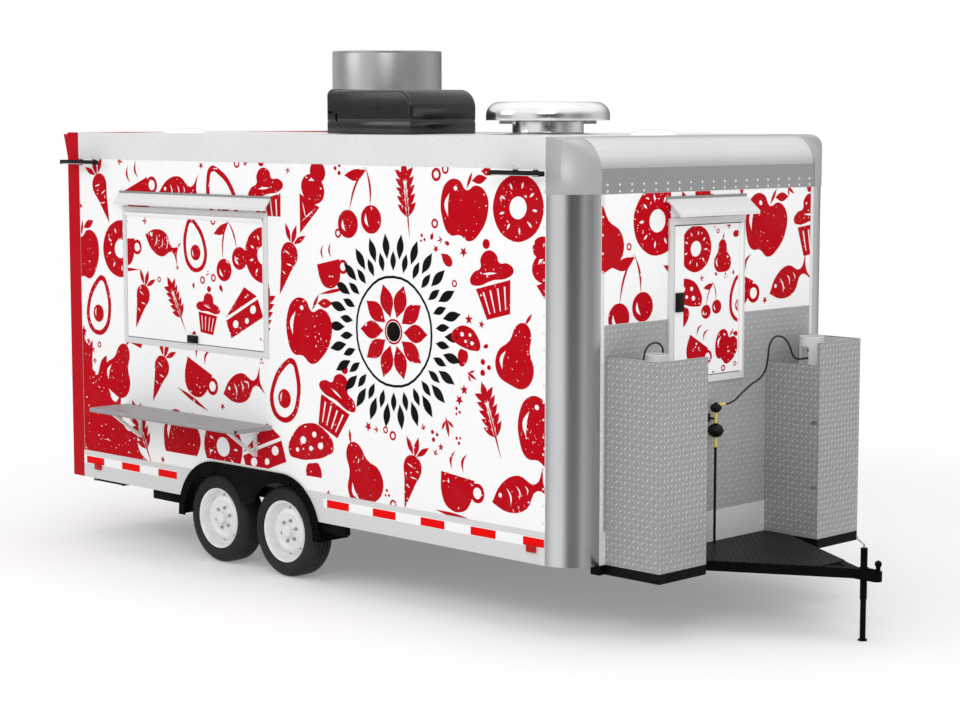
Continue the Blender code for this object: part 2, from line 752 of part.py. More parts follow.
def jack_tube():
    """The fixed outer tube, closed by a cap at the top, with the crank above it."""
    inside = JACK_TUBE_RADIUS - JACK_TUBE_WALL
    roof = JACK_TUBE_TOP - JACK_CAP
    profile = [(inside, JACK_TUBE_BOTTOM), (JACK_TUBE_RADIUS, JACK_TUBE_BOTTOM)]
    profile += [(JACK_TUBE_RADIUS, JACK_TUBE_TOP), (0, JACK_TUBE_TOP), (0, roof), (inside, roof)]
    tube = solid("jack_tube", turned(profile, JACK_STEPS), black_paint(), True)
    spindle_top = JACK_TUBE_TOP + CRANK_RISE
    spindle = [(0, roof + JACK_CAP / 2), (CRANK_RADIUS, roof + JACK_CAP / 2)]
    spindle += [(CRANK_RADIUS, spindle_top), (0, spindle_top)]
    fuse(tube, turned(spindle, 8))
    arm = [(0, 0), (CRANK_RADIUS, 0), (CRANK_RADIUS, CRANK_ARM), (0, CRANK_ARM)]
    tilt = Matrix.Translation((0, 0, spindle_top - CRANK_RADIUS)) @ Matrix.Rotation(-math.radians(60), 4, "Y")
    fuse(tube, turned(arm, 8, tilt))


def jack_leg():
    """The inner leg and its foot, which slide up inside the tube."""
    axis = pivot("jack_axis", (0, 0, 0))
    profile = [(0, 0), (JACK_FOOT_RADIUS, 0), (JACK_FOOT_RADIUS, JACK_FOOT_HEIGHT)]
    profile += [(JACK_LEG_RADIUS, JACK_FOOT_HEIGHT), (JACK_LEG_RADIUS, JACK_LEG_TOP), (0, JACK_LEG_TOP)]
    solid("jack_leg", turned(profile, JACK_STEPS), black_paint(), True, axis)


def gas_boxes():
    """A base that follows the drawbar rail, with three plate walls; the inner one is lower."""
    back = FRONT_X + GAP
    front = GAS_BOX_FRONT_X
    skin = GAS_BOX_SKIN
    meet = -DRAWBAR_TIP - (GAS_BOX_INNER_Y - GAP) / math.tan(DRAWBAR_ANGLE)
    for side, word in ((1, "left"), (-1, "right")):
        outline = [
            (meet, side * GAS_BOX_INNER_Y),
            (front, side * GAS_BOX_INNER_Y),
            (front, side * GAS_BOX_OUTER_Y),
            (back, side * GAS_BOX_OUTER_Y),
            (back, side * (drawbar_edge(back, 0) + GAP)),
        ]
        y_range = (GAS_BOX_INNER_Y, GAS_BOX_OUTER_Y)
        floor_top = GAS_BOX_FLOOR + GAS_BOX_FLOOR_SKIN
        box = side_block(side, (back, front), y_range, (GAS_BOX_FLOOR, GAS_BOX_TOP))
        box = solid(f"gas_box_{word}", box, diamond_plate())
        inner = (GAS_BOX_INNER_Y + skin, GAS_BOX_OUTER_Y - skin)
        cut(box, side_block(side, (back - OVERRUN, front - skin), inner, (floor_top, GAS_BOX_TOP + OVERRUN)))
        low_y = (GAS_BOX_INNER_Y - OVERRUN, GAS_BOX_INNER_Y + skin + GAP)
        low_z = (GAS_BOX_INNER_TOP, GAS_BOX_TOP + OVERRUN)
        cut(box, side_block(side, (back - OVERRUN, front - GAS_BOX_POST), low_y, low_z))
        fuse(box, prism(outline, "Z", DRAWBAR_LOW, (GAS_BOX_FLOOR + floor_top) / 2))


def gas_bottles():
    """A tall gas bottle with a collar ring round its valve, open above and at two windows."""
    shoulder = BOTTLE_TOP
    collar_top = BOTTLE_TOP + COLLAR_HEIGHT
    valve_top = BOTTLE_TOP + VALVE_HEIGHT
    window_low = BOTTLE_TOP + COLLAR_WINDOW_RISE
    for side, word in ((1, "left"), (-1, "right")):
        place = Matrix.Translation((BOTTLE_X, side * BOTTLE_Y, 0))
        profile = [(0, BOTTLE_FOOT), (BOTTLE_FOOT_RADIUS, BOTTLE_FOOT)]
        profile += [(BOTTLE_FOOT_RADIUS, BOTTLE_FOOT + BOTTLE_FOOT_HEIGHT)]
        foot_z = BOTTLE_FOOT + BOTTLE_FOOT_HEIGHT + BOTTLE_RADIUS - BOTTLE_FOOT_RADIUS
        profile += [(BOTTLE_RADIUS, foot_z)]
        dome = arc((0, BOTTLE_BODY_TOP), (BOTTLE_RADIUS, BOTTLE_SHOULDER), 0, math.radians(62), 4)
        profile += dome
        profile += [(COLLAR_RADIUS, shoulder - COLLAR_SKIN), (COLLAR_RADIUS, collar_top)]
        inner = COLLAR_RADIUS - COLLAR_SKIN
        profile += [(inner, collar_top), (inner, shoulder), (VALVE_RADIUS, shoulder)]
        profile += [(VALVE_RADIUS, valve_top), (HANDWHEEL_RADIUS, valve_top)]
        wheel_top = valve_top + HANDWHEEL_HEIGHT
        profile += [(HANDWHEEL_RADIUS, wheel_top), (0, wheel_top)]
        bottle = solid(f"gas_bottle_{word}", turned(profile, 16, place), bottle_paint(), True)
        y_low = side * BOTTLE_Y - COLLAR_RADIUS - OVERRUN
        half = COLLAR_WINDOW_WIDTH / 2
        depth = OVERRUN + COLLAR_RADIUS - VALVE_RADIUS - OUTLET_LENGTH / 2
        windows = []
        for low_y in (y_low, side * BOTTLE_Y + COLLAR_RADIUS + OVERRUN - depth):
            low = (BOTTLE_X - half, low_y, window_low)
            windows.append(block(low, (BOTTLE_X + half, low_y + depth, window_low + COLLAR_WINDOW_HEIGHT)))
        cut(bottle, merged(windows))
        outlet = [(0, 0), (OUTLET_RADIUS, 0), (OUTLET_RADIUS, OUTLET_LENGTH), (0, OUTLET_LENGTH)]
        fuse(bottle, turned(outlet, 8, along_y((BOTTLE_X, side * BOTTLE_Y, OUTLET_Z), -1)))


def gas_regulator():
    """The riser pipe with two regulators in line, an elbow to the hose and a wall bracket."""
    profile = [(0, DECK_TOP + GAP), (PIPE_RADIUS, DECK_TOP + GAP), (PIPE_RADIUS, REGULATOR_LOW)]
    for radius, height in REGULATOR_SHARES:
        profile.append((radius * REGULATOR_RADIUS, REGULATOR_LOW + height * REGULATOR_HEIGHT))
    place = Matrix.Translation((PIPE_X, PIPE_Y, 0))
    stack = solid("gas_regulator", turned(profile, 12, place), black_plastic(), True)
    elbow_z = REGULATOR_LOW + ELBOW_HEIGHT_SHARE * REGULATOR_HEIGHT
    elbow = [(0, 0), (ELBOW_RADIUS, 0), (ELBOW_RADIUS, ELBOW_LENGTH), (0, ELBOW_LENGTH)]
    fuse(stack, turned(elbow, 8, along_y((PIPE_X, PIPE_Y, elbow_z), 1)))
    half = REGULATOR_BRACKET / 2
    z_low = REGULATOR_LOW + BRACKET_SHARE * REGULATOR_HEIGHT - REGULATOR_BRACKET_THICKNESS / 2
    low = (FRONT_X + GAP, PIPE_Y - half, z_low)
    fuse(stack, block(low, (PIPE_X, PIPE_Y + half, z_low + REGULATOR_BRACKET_THICKNESS)))


def smooth_route(points, spacing):
    """Points read from a smooth curve through the route's own points."""
    guide = [Vector(point) for point in points]
    lead_in = guide[0] + (guide[0] - guide[1])
    lead_out = guide[-1] + (guide[-1] - guide[-2])
    ends = [lead_in] + guide + [lead_out]
    read = [guide[0]]
    for number in range(len(guide) - 1):
        before, here, there, after = ends[number:number + 4]
        pieces = max(1, round((there - here).length / spacing))
        for step in range(1, pieces + 1):
            t = step / pieces
            even = 2 * here + (there - before) * t
            square = (2 * before - 5 * here + 4 * there - after) * t * t
            cube = (3 * here - before - 3 * there + after) * t * t * t
            read.append((even + square + cube) / 2)
    return read


def hose(name, points):
    curve = bpy.data.curves.new(name, "CURVE")
    curve.dimensions = "3D"
    curve.bevel_depth = HOSE_RADIUS
    curve.bevel_resolution = 2
    curve.use_fill_caps = True
    read = smooth_route(points, HOSE_SPACING)
    line = curve.splines.new("POLY")
    line.points.add(len(read) - 1)
    for point, place in zip(line.points, read):
        point.co = (*place, 1.0)
    obj = bpy.data.objects.new(name, curve)
    bpy.context.scene.collection.objects.link(obj)
    obj.data.materials.append(hose_rubber())


def gas_hoses():
    """The hose to the left-hand box loops over its low wall; the other enters the front wall."""
    elbow_end = (PIPE_X, PIPE_Y + ELBOW_LENGTH + GAP, REGULATOR_LOW + ELBOW_HEIGHT_SHARE * REGULATOR_HEIGHT)
    outlet_end = (BOTTLE_X, BOTTLE_Y - OUTLET_LENGTH - GAP, OUTLET_Z)
    first = (elbow_end[0], elbow_end[1] + HOSE_STRAIGHT, elbow_end[2])
    last = (outlet_end[0], outlet_end[1] - HOSE_STRAIGHT, outlet_end[2])
    hose("gas_hose_left", [elbow_end, first, *RIGHT_SIDE_HOSE, last, outlet_end])
    start = (BOTTLE_X, -BOTTLE_Y - OUTLET_LENGTH - GAP, OUTLET_Z)
    route = [(BOTTLE_X + x, -BOTTLE_Y + y, z) for x, y, z in LEFT_SIDE_HOSE]
    last = (FRONT_X + GAP, route[-1][1], route[-1][2])
    first = (start[0], start[1] - HOSE_STRAIGHT, start[2])
    hose("gas_hose_right", [start, first, *route, last])


def side_wall(side, word):
    """Skin panel with its stepped skirt, the wheel arch cut out and the marker lamps."""
    inner = SIDE_Y - WALL
    outline = [
        (inner, BODY_BOTTOM),
        (SIDE_Y + TRIM_PROUD, BODY_BOTTOM),
        (SIDE_Y + TRIM_PROUD, SKIRT_TOP),
        (SIDE_Y, SKIRT_TOP),
        (SIDE_Y, TOP_RAIL_LOW - GAP),
        (inner, TOP_RAIL_LOW - GAP),
    ]
    outline = [(side * y, z) for y, z in outline]
    wall = solid(f"{word}_wall", prism(outline, "X", WALL_START_X + GAP, WALL_END_X), white_skin())
    low, high = mirrored(inner - OVERRUN, SIDE_Y + OVERRUN, side)
    cut(wall, prism(tandem_arch(FENDER_RADIUS + GAP, BODY_BOTTOM - OVERRUN), "Y", low, high))
    lamps = []
    for x in (REAR_X + LAMP_INSET, FRONT_X - LAMP_FRONT_INSET - LAMP_WIDTH):
        y_range = (SIDE_Y - WALL / 2, SIDE_Y + LAMP_PROUD)
        z_range = (BODY_BOTTOM + LAMP_RISE, BODY_BOTTOM + LAMP_RISE + LAMP_HEIGHT)
        lamps.append(side_block(side, (x, x + LAMP_WIDTH), y_range, z_range))
    fuse(wall, merged(lamps))
    return wall


def hatch_edges(inset):
    """X and Z limits of the serving hatch, moved inwards from its frame's outer edge."""
    centre = REAR_X + HATCH_FROM_REAR
    half = HATCH_WIDTH / 2 - inset
    return (centre - half, centre + half), (HATCH_LOW + inset, HATCH_TOP - inset)


def side_walls():
    side_wall(1, "left")
    wall = side_wall(-1, "right")
    x_range, z_range = hatch_edges(HATCH_FACE - HATCH_LINING - GAP)
    cut(wall, side_block(-1, x_range, (SIDE_Y - WALL - OVERRUN, SIDE_Y + OVERRUN), z_range))


def serving_hatch_frame():
    """A face flange on the skin and a lining through the wall, round one open hatchway."""
    x_face, z_face = hatch_edges(0)
    face = side_block(-1, x_face, (SIDE_Y + GAP, SIDE_Y + HATCH_PROUD), z_face)
    frame = solid("serving_hatch_frame", face, pale_trim())
    x_lining, z_lining = hatch_edges(HATCH_FACE - HATCH_LINING)
    fuse(frame, side_block(-1, x_lining, (SIDE_Y - WALL, SIDE_Y + HATCH_PROUD / 2), z_lining))
    x_open, z_open = hatch_edges(HATCH_FACE)
    cut(frame, side_block(-1, x_open, (SIDE_Y - WALL - OVERRUN, SIDE_Y + OVERRUN), z_open))


def serving_hatch_door():
    """The lift-up leaf, with its hinge barrel along the top and a latch at the bottom."""
    x_open, z_open = hatch_edges(HATCH_FACE + LEAF_CLEARANCE)
    axis_z = z_open[1]
    axis_y = -(SIDE_Y + HATCH_PROUD + LEAF_HINGE_PROUD)
    axis = pivot("serving_hatch_axis", ((x_open[0] + x_open[1]) / 2, axis_y, axis_z))
    outer = SIDE_Y + HATCH_PROUD
    leaf = side_block(-1, x_open, (outer - LEAF_THICKNESS, outer), z_open)
    door = solid("serving_hatch_door", leaf, white_skin(), False, axis)
    radius = LEAF_HINGE_RADIUS
    length = x_open[1] - x_open[0]
    barrel = [(0, 0), (radius, 0), (radius, length), (0, length)]
    turn = Matrix.Translation((x_open[0], axis_y, axis_z)) @ Matrix.Rotation(math.pi / 2, 4, "Y")
    fuse(door, turned(barrel, 12, turn))
    plate_z = (axis_z - 2 * radius, axis_z)
    fuse(door, side_block(-1, x_open, (outer - LEAF_THICKNESS / 2, -axis_y), plate_z))
    middle = (x_open[0] + x_open[1]) / 2
    latch_x = (middle - HATCH_LATCH_WIDTH / 2, middle + HATCH_LATCH_WIDTH / 2)
    latch_z = (z_open[0], z_open[0] + HATCH_LATCH_HEIGHT)
    fuse(door, side_block(-1, latch_x, (outer - LEAF_THICKNESS / 2, outer + HATCH_LATCH_PROUD), latch_z))


def drip_outline(top, reach, drop):
    """A sloped drip cap from the wall outwards: distance from the wall, height."""
    skin = DRIP_SKIN
    under = top - skin - skin
    return [
        (GAP, top),
        (GAP, top - DRIP_LIP),
        (skin, top - DRIP_LIP),
        (skin, under),
        (reach - skin, under - drop),
        (reach - skin, top - drop - DRIP_LIP),
        (reach, top - drop - DRIP_LIP),
        (reach, top - drop),
        (skin, top),
    ]


def serving_drip_cap():
    outline = [(-(SIDE_Y + out), z) for out, z in drip_outline(HATCH_TOP + DRIP_ABOVE_HATCH, DRIP_REACH, DRIP_DROP)]
    start = REAR_X + DRIP_FROM_REAR - DRIP_WIDTH / 2
    solid("serving_drip_cap", prism(outline, "X", start, start + DRIP_WIDTH), pale_trim())


def serving_shelf():
    """The shelf top on two wall brackets, each a leg, an arm and a slanting brace."""
    centre = REAR_X + SHELF_FROM_REAR
    half = SHELF_WIDTH / 2
    wall_y = SIDE_Y + GAP
    y_range = (wall_y, SIDE_Y + SHELF_DEPTH)
    under = SHELF_TOP - SHELF_THICKNESS
    top = side_block(-1, (centre - half, centre + half), y_range, (under, SHELF_TOP))
    shelf = solid("serving_shelf", top, shelf_metal())
    skin = SHELF_BRACKET_SKIN
    low = under - SHELF_LEG
    reach = wall_y + SHELF_DEPTH * SHELF_BRACE_SHARE
    bracket = [
        (-wall_y, under + skin), (-wall_y, low), (-wall_y - skin, low), (-reach, under - skin),
        (-reach, under + skin),
    ]
    window = [
        (-wall_y - skin, under - skin), (-wall_y - skin, low + 2 * skin), (-reach + 2 * skin, under - skin),
    ]
    brackets = []
    windows = []
    for side in (-1, 1):
        start = centre + side * SHELF_BRACKET_SPACING / 2 - SHELF_BRACKET_WIDTH / 2
        brackets.append(prism(bracket, "X", start, start + SHELF_BRACKET_WIDTH))
        windows.append(prism(window, "X", start - OVERRUN, start + SHELF_BRACKET_WIDTH + OVERRUN))
    fuse(shelf, merged(brackets))
    cut(shelf, merged(windows))


def top_rails():
    """The side top rails; the one on the serving side carries two flood lights on short arms."""
    y_range = (SIDE_Y - WALL, SIDE_Y + TRIM_PROUD)
    x_range = (WALL_START_X + GAP, WALL_END_X)
    for side, word in ((1, "left"), (-1, "right")):
        rail = side_block(side, x_range, y_range, (TOP_RAIL_LOW, ROOF_HEIGHT))
        solid(f"side_top_rail_{word}", rail, pale_trim())


def flood_lights():
    """A slim lamp bar held off the wall by two arms, near each end of the serving side."""
    for x_low, word in ((REAR_X + FLOOD_REAR_START, "rear"), (FRONT_X - FLOOD_FROM_FRONT, "front")):
        x_high = x_low + FLOOD_LENGTH
        z_high = TOP_RAIL_LOW - FLOOD_BELOW_RAIL
        z_low = z_high - FLOOD_HEIGHT
        near = SIDE_Y + FLOOD_STANDOFF
        bar = side_block(-1, (x_low, x_high), (near, near + FLOOD_DEPTH), (z_low, z_high))
        light = solid(f"flood_light_{word}", bar, black_plastic())
        arms = []
        wall_y = SIDE_Y + GAP
        for x in (x_low + FLOOD_ARM_INSET, x_high - FLOOD_ARM_INSET - FLOOD_ARM):
            y_range = (wall_y, near + FLOOD_DEPTH / 2)
            z_range = (z_low + FLOOD_HEIGHT / 3, z_high - FLOOD_HEIGHT / 3)
            arms.append(side_block(-1, (x, x + FLOOD_ARM), y_range, z_range))
        fuse(light, merged(arms))


def front_wall():
    """The flat front between the corner posts, with its skirt and the access hatchway."""
    top = ROOF_HEIGHT - TOP_RADIUS - GAP
    outline = [
        (FRONT_X - WALL, BODY_BOTTOM),
        (FRONT_X, BODY_BOTTOM),
        (FRONT_X, top),
        (FRONT_X - WALL, top),
    ]
    half = POST_Y - GAP
    wall = solid("front_wall", prism(outline, "Y", -half, half), white_skin())
    y_open, z_open = access_edges(HATCH_FACE - HATCH_LINING - GAP)
    low = (FRONT_X - WALL - OVERRUN, y_open[0], z_open[0])
    cut(wall, block(low, (FRONT_X + OVERRUN, y_open[1], z_open[1])))


def access_edges(inset):
    half = ACCESS_WIDTH / 2 - inset
    y_range = (ACCESS_CENTRE_Y - half, ACCESS_CENTRE_Y + half)
    return y_range, (ACCESS_LOW + inset, ACCESS_TOP - inset)


def front_hatch_frame():
    y_face, z_face = access_edges(0)
    face = block((FRONT_X + GAP, y_face[0], z_face[0]), (FRONT_X + ACCESS_PROUD, y_face[1], z_face[1]))
    frame = solid("front_hatch_frame", face, pale_trim())
    y_lining, z_lining = access_edges(HATCH_FACE - HATCH_LINING)
    low = (FRONT_X - WALL, y_lining[0], z_lining[0])
    fuse(frame, block(low, (FRONT_X + ACCESS_PROUD / 2, y_lining[1], z_lining[1])))
    y_open, z_open = access_edges(HATCH_FACE)
    low = (FRONT_X - WALL - OVERRUN, y_open[0], z_open[0])
    cut(frame, block(low, (FRONT_X + OVERRUN, y_open[1], z_open[1])))


def front_hatch_door():
    """The side-hung leaf, with a hinge barrel on its left edge and a flush handle."""
    y_open, z_open = access_edges(HATCH_FACE + LEAF_CLEARANCE)
    outer = FRONT_X + ACCESS_PROUD
    axis_x = outer + LEAF_HINGE_PROUD
    axis_y = y_open[1]
    axis = pivot("front_hatch_axis", (axis_x, axis_y, (z_open[0] + z_open[1]) / 2))
    leaf = block((outer - LEAF_THICKNESS, y_open[0], z_open[0]), (outer, y_open[1], z_open[1]))
    door = solid("front_hatch_door", leaf, white_skin(), False, axis)
    radius = LEAF_HINGE_RADIUS
    barrel = [(0, z_open[0]), (radius, z_open[0]), (radius, z_open[1]), (0, z_open[1])]
    fuse(door, turned(barrel, 12, Matrix.Translation((axis_x, axis_y, 0))))
    low = (outer - LEAF_THICKNESS / 2, axis_y - 2 * radius, z_open[0])
    fuse(door, block(low, (axis_x, axis_y, z_open[1])))
    handle_y = y_open[0] + LEAF_CLEARANCE
    half = ACCESS_HANDLE_HEIGHT / 2
    middle = (z_open[0] + z_open[1]) / 2
    low = (outer - LEAF_THICKNESS / 2, handle_y, middle - half)
    high = (outer + ACCESS_HANDLE_PROUD, handle_y + ACCESS_HANDLE_WIDTH, middle + half)
    fuse(door, block(low, high))


def front_drip_cap():
    shape = drip_outline(ACCESS_TOP + ACCESS_DRIP_RISE, ACCESS_DRIP_REACH, ACCESS_DRIP_DROP)
    outline = [(FRONT_X + out, z) for out, z in shape]
    start = ACCESS_CENTRE_Y - ACCESS_DRIP_WIDTH / 2
    cap = prism(outline, "Y", start, start + ACCESS_DRIP_WIDTH)
    solid("front_drip_cap", cap, pale_trim())


def front_corners():
    """Quarter-round posts, and cast caps that round over into the roof."""
    inside = POST_RADIUS - WALL
    proud = POST_RADIUS + CAP_PROUD
    shoulder = ROOF_HEIGHT - TOP_RADIUS
    for side, word in ((1, "left"), (-1, "right")):
        place = Matrix.Translation((POST_X, side * POST_Y, 0))
        start = 0 if side > 0 else -math.pi / 2
        post = [(inside, BODY_BOTTOM), (POST_RADIUS, BODY_BOTTOM), (POST_RADIUS, CAP_LOW - GAP)]
        post.append((inside, CAP_LOW - GAP))
        shape = turned(post, 12, place, start, math.pi / 2)
        solid(f"front_corner_post_{word}", shape, brushed_aluminium(), True)
        cap = [(inside, CAP_LOW), (proud, CAP_LOW)]
        cap += arc((0, shoulder), (proud, TOP_RADIUS), 0, math.pi / 2, 7)[:-1]
        cap += [(0, ROOF_HEIGHT), (0, ROOF_HEIGHT - WALL)]
        cap += arc((0, shoulder), (inside, TOP_RADIUS - WALL), math.pi / 2, 0, 4)[1:]
        shape = turned(cap, 12, place, start, math.pi / 2)
        solid(f"front_corner_cap_{word}", shape, brushed_aluminium(), True)


def front_top_rail():
    """The rounded edge between the front wall and the roof."""
    centre = (FRONT_X - TOP_RADIUS, ROOF_HEIGHT - TOP_RADIUS)
    inside = TOP_RADIUS - WALL
    outline = arc(centre, (TOP_RADIUS, TOP_RADIUS), 0, math.pi / 2, 10)
    outline += [(POST_X, ROOF_HEIGHT), (POST_X, ROOF_HEIGHT - WALL)]
    outline += arc(centre, (inside, inside), math.pi / 2, 0, 8)
    half = POST_Y - GAP
    solid("front_top_rail", prism(outline, "Y", -half, half), brushed_aluminium(), True)


def roof():
    """The crowned roof panel with its two duct holes and two low vents."""
    half = INNER_Y
    edge = ROOF_HEIGHT - ROOF_STEP
    under = edge - ROOF_THICKNESS
    steps = 8
    outline = [(-half, under)]
    for step in range(steps + 1):
        y = -half + 2 * half * step / steps
        outline.append((y, edge + ROOF_CROWN * (1 - (y / half) ** 2)))
    outline.append((half, under))
    start = REAR_X + HOOP_FLANGE + GAP
    panel = solid("roof", prism(outline, "X", start, POST_X - GAP), white_skin())
    ducts = []
    for x, y, radius in duct_places():
        duct = [(0, under - OVERRUN), (radius, under - OVERRUN), (radius, ROOF_HEIGHT + OVERRUN)]
        duct.append((0, ROOF_HEIGHT + OVERRUN))
        ducts.append(turned(duct, 24, Matrix.Translation((x, y, 0))))
    cut(panel, merged(ducts))
    vents = []
    for along, y in (VENT_REAR_PLACE, VENT_FRONT_PLACE):
        base = under + ROOF_THICKNESS / 2
        dome = [(0, base), (VENT_RADIUS, base), (VENT_RADIUS, ROOF_HEIGHT)]
        dome += arc((0, ROOF_HEIGHT), (VENT_RADIUS, VENT_HEIGHT), 0, math.pi / 2, 4)[1:-1]
        dome.append((0, ROOF_HEIGHT + VENT_HEIGHT))
        vents.append(turned(dome, 20, Matrix.Translation((REAR_X + along, y, 0))))
    fuse(panel, merged(vents))


def duct_places():
    """X, Y and radius of each round hole in the roof."""
    return (
        (REAR_X + EXHAUST_FROM_REAR, EXHAUST_Y, DUCT_RADIUS),
        (REAR_X + VENTILATOR_FROM_REAR, VENTILATOR_Y, VENTILATOR_DUCT_RADIUS),
    )


def rear_hoop():
    """The rear frame: a deep ring with a face flange, the flared header and the tail lamps."""
    low = (REAR_X, -SIDE_Y - TRIM_PROUD, BODY_BOTTOM)
    high = (WALL_START_X, SIDE_Y + TRIM_PROUD, ROOF_HEIGHT)
    hoop = solid("rear_hoop", block(low, high), red_paint())
    inner = SIDE_Y - WALL
    low = (REAR_X + HOOP_FLANGE, -inner, BODY_BOTTOM - OVERRUN)
    cut(hoop, block(low, (WALL_START_X + OVERRUN, inner, ROOF_HEIGHT + OVERRUN)))
    opening = SIDE_Y - HOOP_FACE
    low = (REAR_X - OVERRUN, -opening, FLOOR_TOP)
    high = (REAR_X + HOOP_FLANGE + OVERRUN, opening, ROOF_HEIGHT - HEADER_HEIGHT)
    cut(hoop, block(low, high))
    top = ROOF_HEIGHT - HEADER_DROP
    wedge = [
        (REAR_X + HOOP_FLANGE / 2, top),
        (REAR_X - HEADER_FLARE, top),
        (REAR_X + HEADER_DROP / 2, ROOF_HEIGHT - HEADER_HEIGHT),
        (REAR_X + HOOP_FLANGE / 2, ROOF_HEIGHT - HEADER_HEIGHT),
    ]
    fuse(hoop, prism(wedge, "Y", -SIDE_Y - TRIM_PROUD, SIDE_Y + TRIM_PROUD))
    lamps = []
    for side in (-1, 1):
        middle = SIDE_Y - HOOP_FACE / 2
        y_range = (middle - TAIL_LAMP_WIDTH / 2, middle + TAIL_LAMP_WIDTH / 2)
        x_range = (REAR_X - TAIL_LAMP_PROUD, REAR_X + HOOP_FLANGE / 2)
        lamp_low = BODY_BOTTOM + TAIL_LAMP_RISE
        z_range = (lamp_low, lamp_low + TAIL_LAMP_HEIGHT)
        lamps.append(side_block(side, x_range, y_range, z_range))
    fuse(hoop, merged(lamps))


def rear_wall():
    half = SIDE_Y - HOOP_FACE - GAP
    start = REAR_X + REAR_WALL_INSET
    end = start + REAR_WALL_THICKNESS
    z_range = (FLOOR_TOP + GAP, ROOF_HEIGHT - HEADER_HEIGHT - GAP)
    wall = solid("rear_wall", block((start, -half, z_range[0]), (end, half, z_range[1])), white_skin())
    side = DOOR_WIDTH / 2
    low = (start - OVERRUN, -side, DOOR_LOW)
    cut(wall, block(low, (end + OVERRUN, side, DOOR_TOP)))


def rear_door():
    """The entry door, hung on its left edge, with its hinge barrel and pull handle."""
    side = DOOR_WIDTH / 2 - LEAF_CLEARANCE
    z_range = (DOOR_LOW + LEAF_CLEARANCE, DOOR_TOP - LEAF_CLEARANCE)
    outer = REAR_X + REAR_WALL_INSET
    axis_x = outer - LEAF_HINGE_PROUD
    axis = pivot("rear_door_axis", (axis_x, side, (z_range[0] + z_range[1]) / 2))
    leaf = block((outer, -side, z_range[0]), (outer + LEAF_THICKNESS, side, z_range[1]))
    door = solid("rear_door", leaf, white_skin(), False, axis)
    radius = LEAF_HINGE_RADIUS
    barrel = [(0, z_range[0]), (radius, z_range[0]), (radius, z_range[1]), (0, z_range[1])]
    fuse(door, turned(barrel, 12, Matrix.Translation((axis_x, side, 0))))
    low = (axis_x, side - 2 * radius, z_range[0])
    fuse(door, block(low, (outer + LEAF_THICKNESS / 2, side, z_range[1])))
    handle_y = -side + DOOR_HANDLE_WIDTH
    handle_z = DOOR_LOW + DOOR_HANDLE_RISE
    low = (outer - DOOR_HANDLE_PROUD, handle_y, handle_z)
    high = (outer + LEAF_THICKNESS / 2, handle_y + DOOR_HANDLE_WIDTH, handle_z + DOOR_HANDLE_LENGTH)
    fuse(door, block(low, high))


def stabilisers():
    """A folded leg at each rear corner, which swings down to the ground."""
    pivot_x = REAR_X + STABILISER_FROM_REAR
    half = STABILISER_HEIGHT / 2
    for side, word in ((1, "left"), (-1, "right")):
        axis = pivot(f"stabiliser_axis_{word}", (pivot_x, side * STABILISER_Y, STABILISER_Z))
        y_low = side * STABILISER_Y - STABILISER_WIDTH / 2
        y_high = y_low + STABILISER_WIDTH
        end = pivot_x + STABILISER_LENGTH
        outline = arc((pivot_x, STABILISER_Z), (half, half), math.pi / 2, 3 * math.pi / 2, 6)
        outline += [(end, STABILISER_Z - half), (end, STABILISER_Z + half)]
        leg = solid(f"stabiliser_{word}", prism(outline, "Y", y_low, y_high), black_paint(), False, axis)
        spread = STABILISER_FOOT / 2
        foot_y = side * STABILISER_Y
        low = (end - GAP, foot_y - spread, STABILISER_Z - half)
        high = (end + STABILISER_FOOT_THICKNESS, foot_y + spread, STABILISER_Z + half)
        fuse(leg, block(low, high))


def fenders():
    """A deep black arch over both wheels, its face dipping to a cusp between them."""
    outer_y = SIDE_Y + FENDER_PROUD
    hollow_y = outer_y - FENDER_FACE
    back_y = SIDE_Y - FENDER_DEPTH
    for side, word in ((1, "left"), (-1, "right")):
        low, high = mirrored(back_y, outer_y, side)
        fender = solid(f"fender_{word}", prism(tandem_arch(FENDER_RADIUS, FENDER_LOW), "Y", low, high), black_paint())
        low, high = mirrored(back_y - OVERRUN, hollow_y, side)
        inside = tandem_arch(FENDER_RADIUS - FENDER_SKIN, FENDER_LOW - OVERRUN)
        cut(fender, prism(inside, "Y", low, high))
        radius = FENDER_RADIUS - FENDER_BAND
        holes = []
        low, high = mirrored(hollow_y - OVERRUN, outer_y + OVERRUN, side)
        for x in (REAR_AXLE_X, FRONT_AXLE_X):
            circle = arc((x, WHEEL_Z), (radius, radius), 0, math.pi, 16)
            circle += [(x - radius, FENDER_LOW - OVERRUN), (x + radius, FENDER_LOW - OVERRUN)]
            holes.append(prism(circle, "Y", low, high))
        cut(fender, merged(holes))
        cusp = [(REAR_AXLE_X, FENDER_LOW - OVERRUN), (FRONT_AXLE_X, FENDER_LOW - OVERRUN)]
        cusp += [(FRONT_AXLE_X, SKIRT_CUSP), (REAR_AXLE_X, SKIRT_CUSP)]
        cut(fender, prism(cusp, "Y", low, high))
        low, high = mirrored(SIDE_Y - STUB_WIDTH, SIDE_Y, side)
        fuse(fender, merged([
            prism(stub_outline(REAR_AXLE_X, -1, STUB_REAR_LENGTH), "Y", low, high),
            prism(stub_outline(FRONT_AXLE_X, 1, STUB_LENGTH), "Y", low, high),
        ]))


def stub_outline(axle_x, forward, length):
    """The short rail under the body at one end of a fender, cut off along the fender's curve."""
    outline = []
    for z in (BODY_BOTTOM - GAP - STUB_HEIGHT, BODY_BOTTOM - GAP):
        middle = FENDER_RADIUS - FENDER_SKIN / 2
        reach = math.sqrt(middle ** 2 - (z - WHEEL_Z) ** 2)
        outline.append((axle_x + forward * reach, z))
    end = axle_x + forward * (FENDER_RADIUS + length)
    return outline + [(end, outline[1][1]), (end, outline[0][1])]


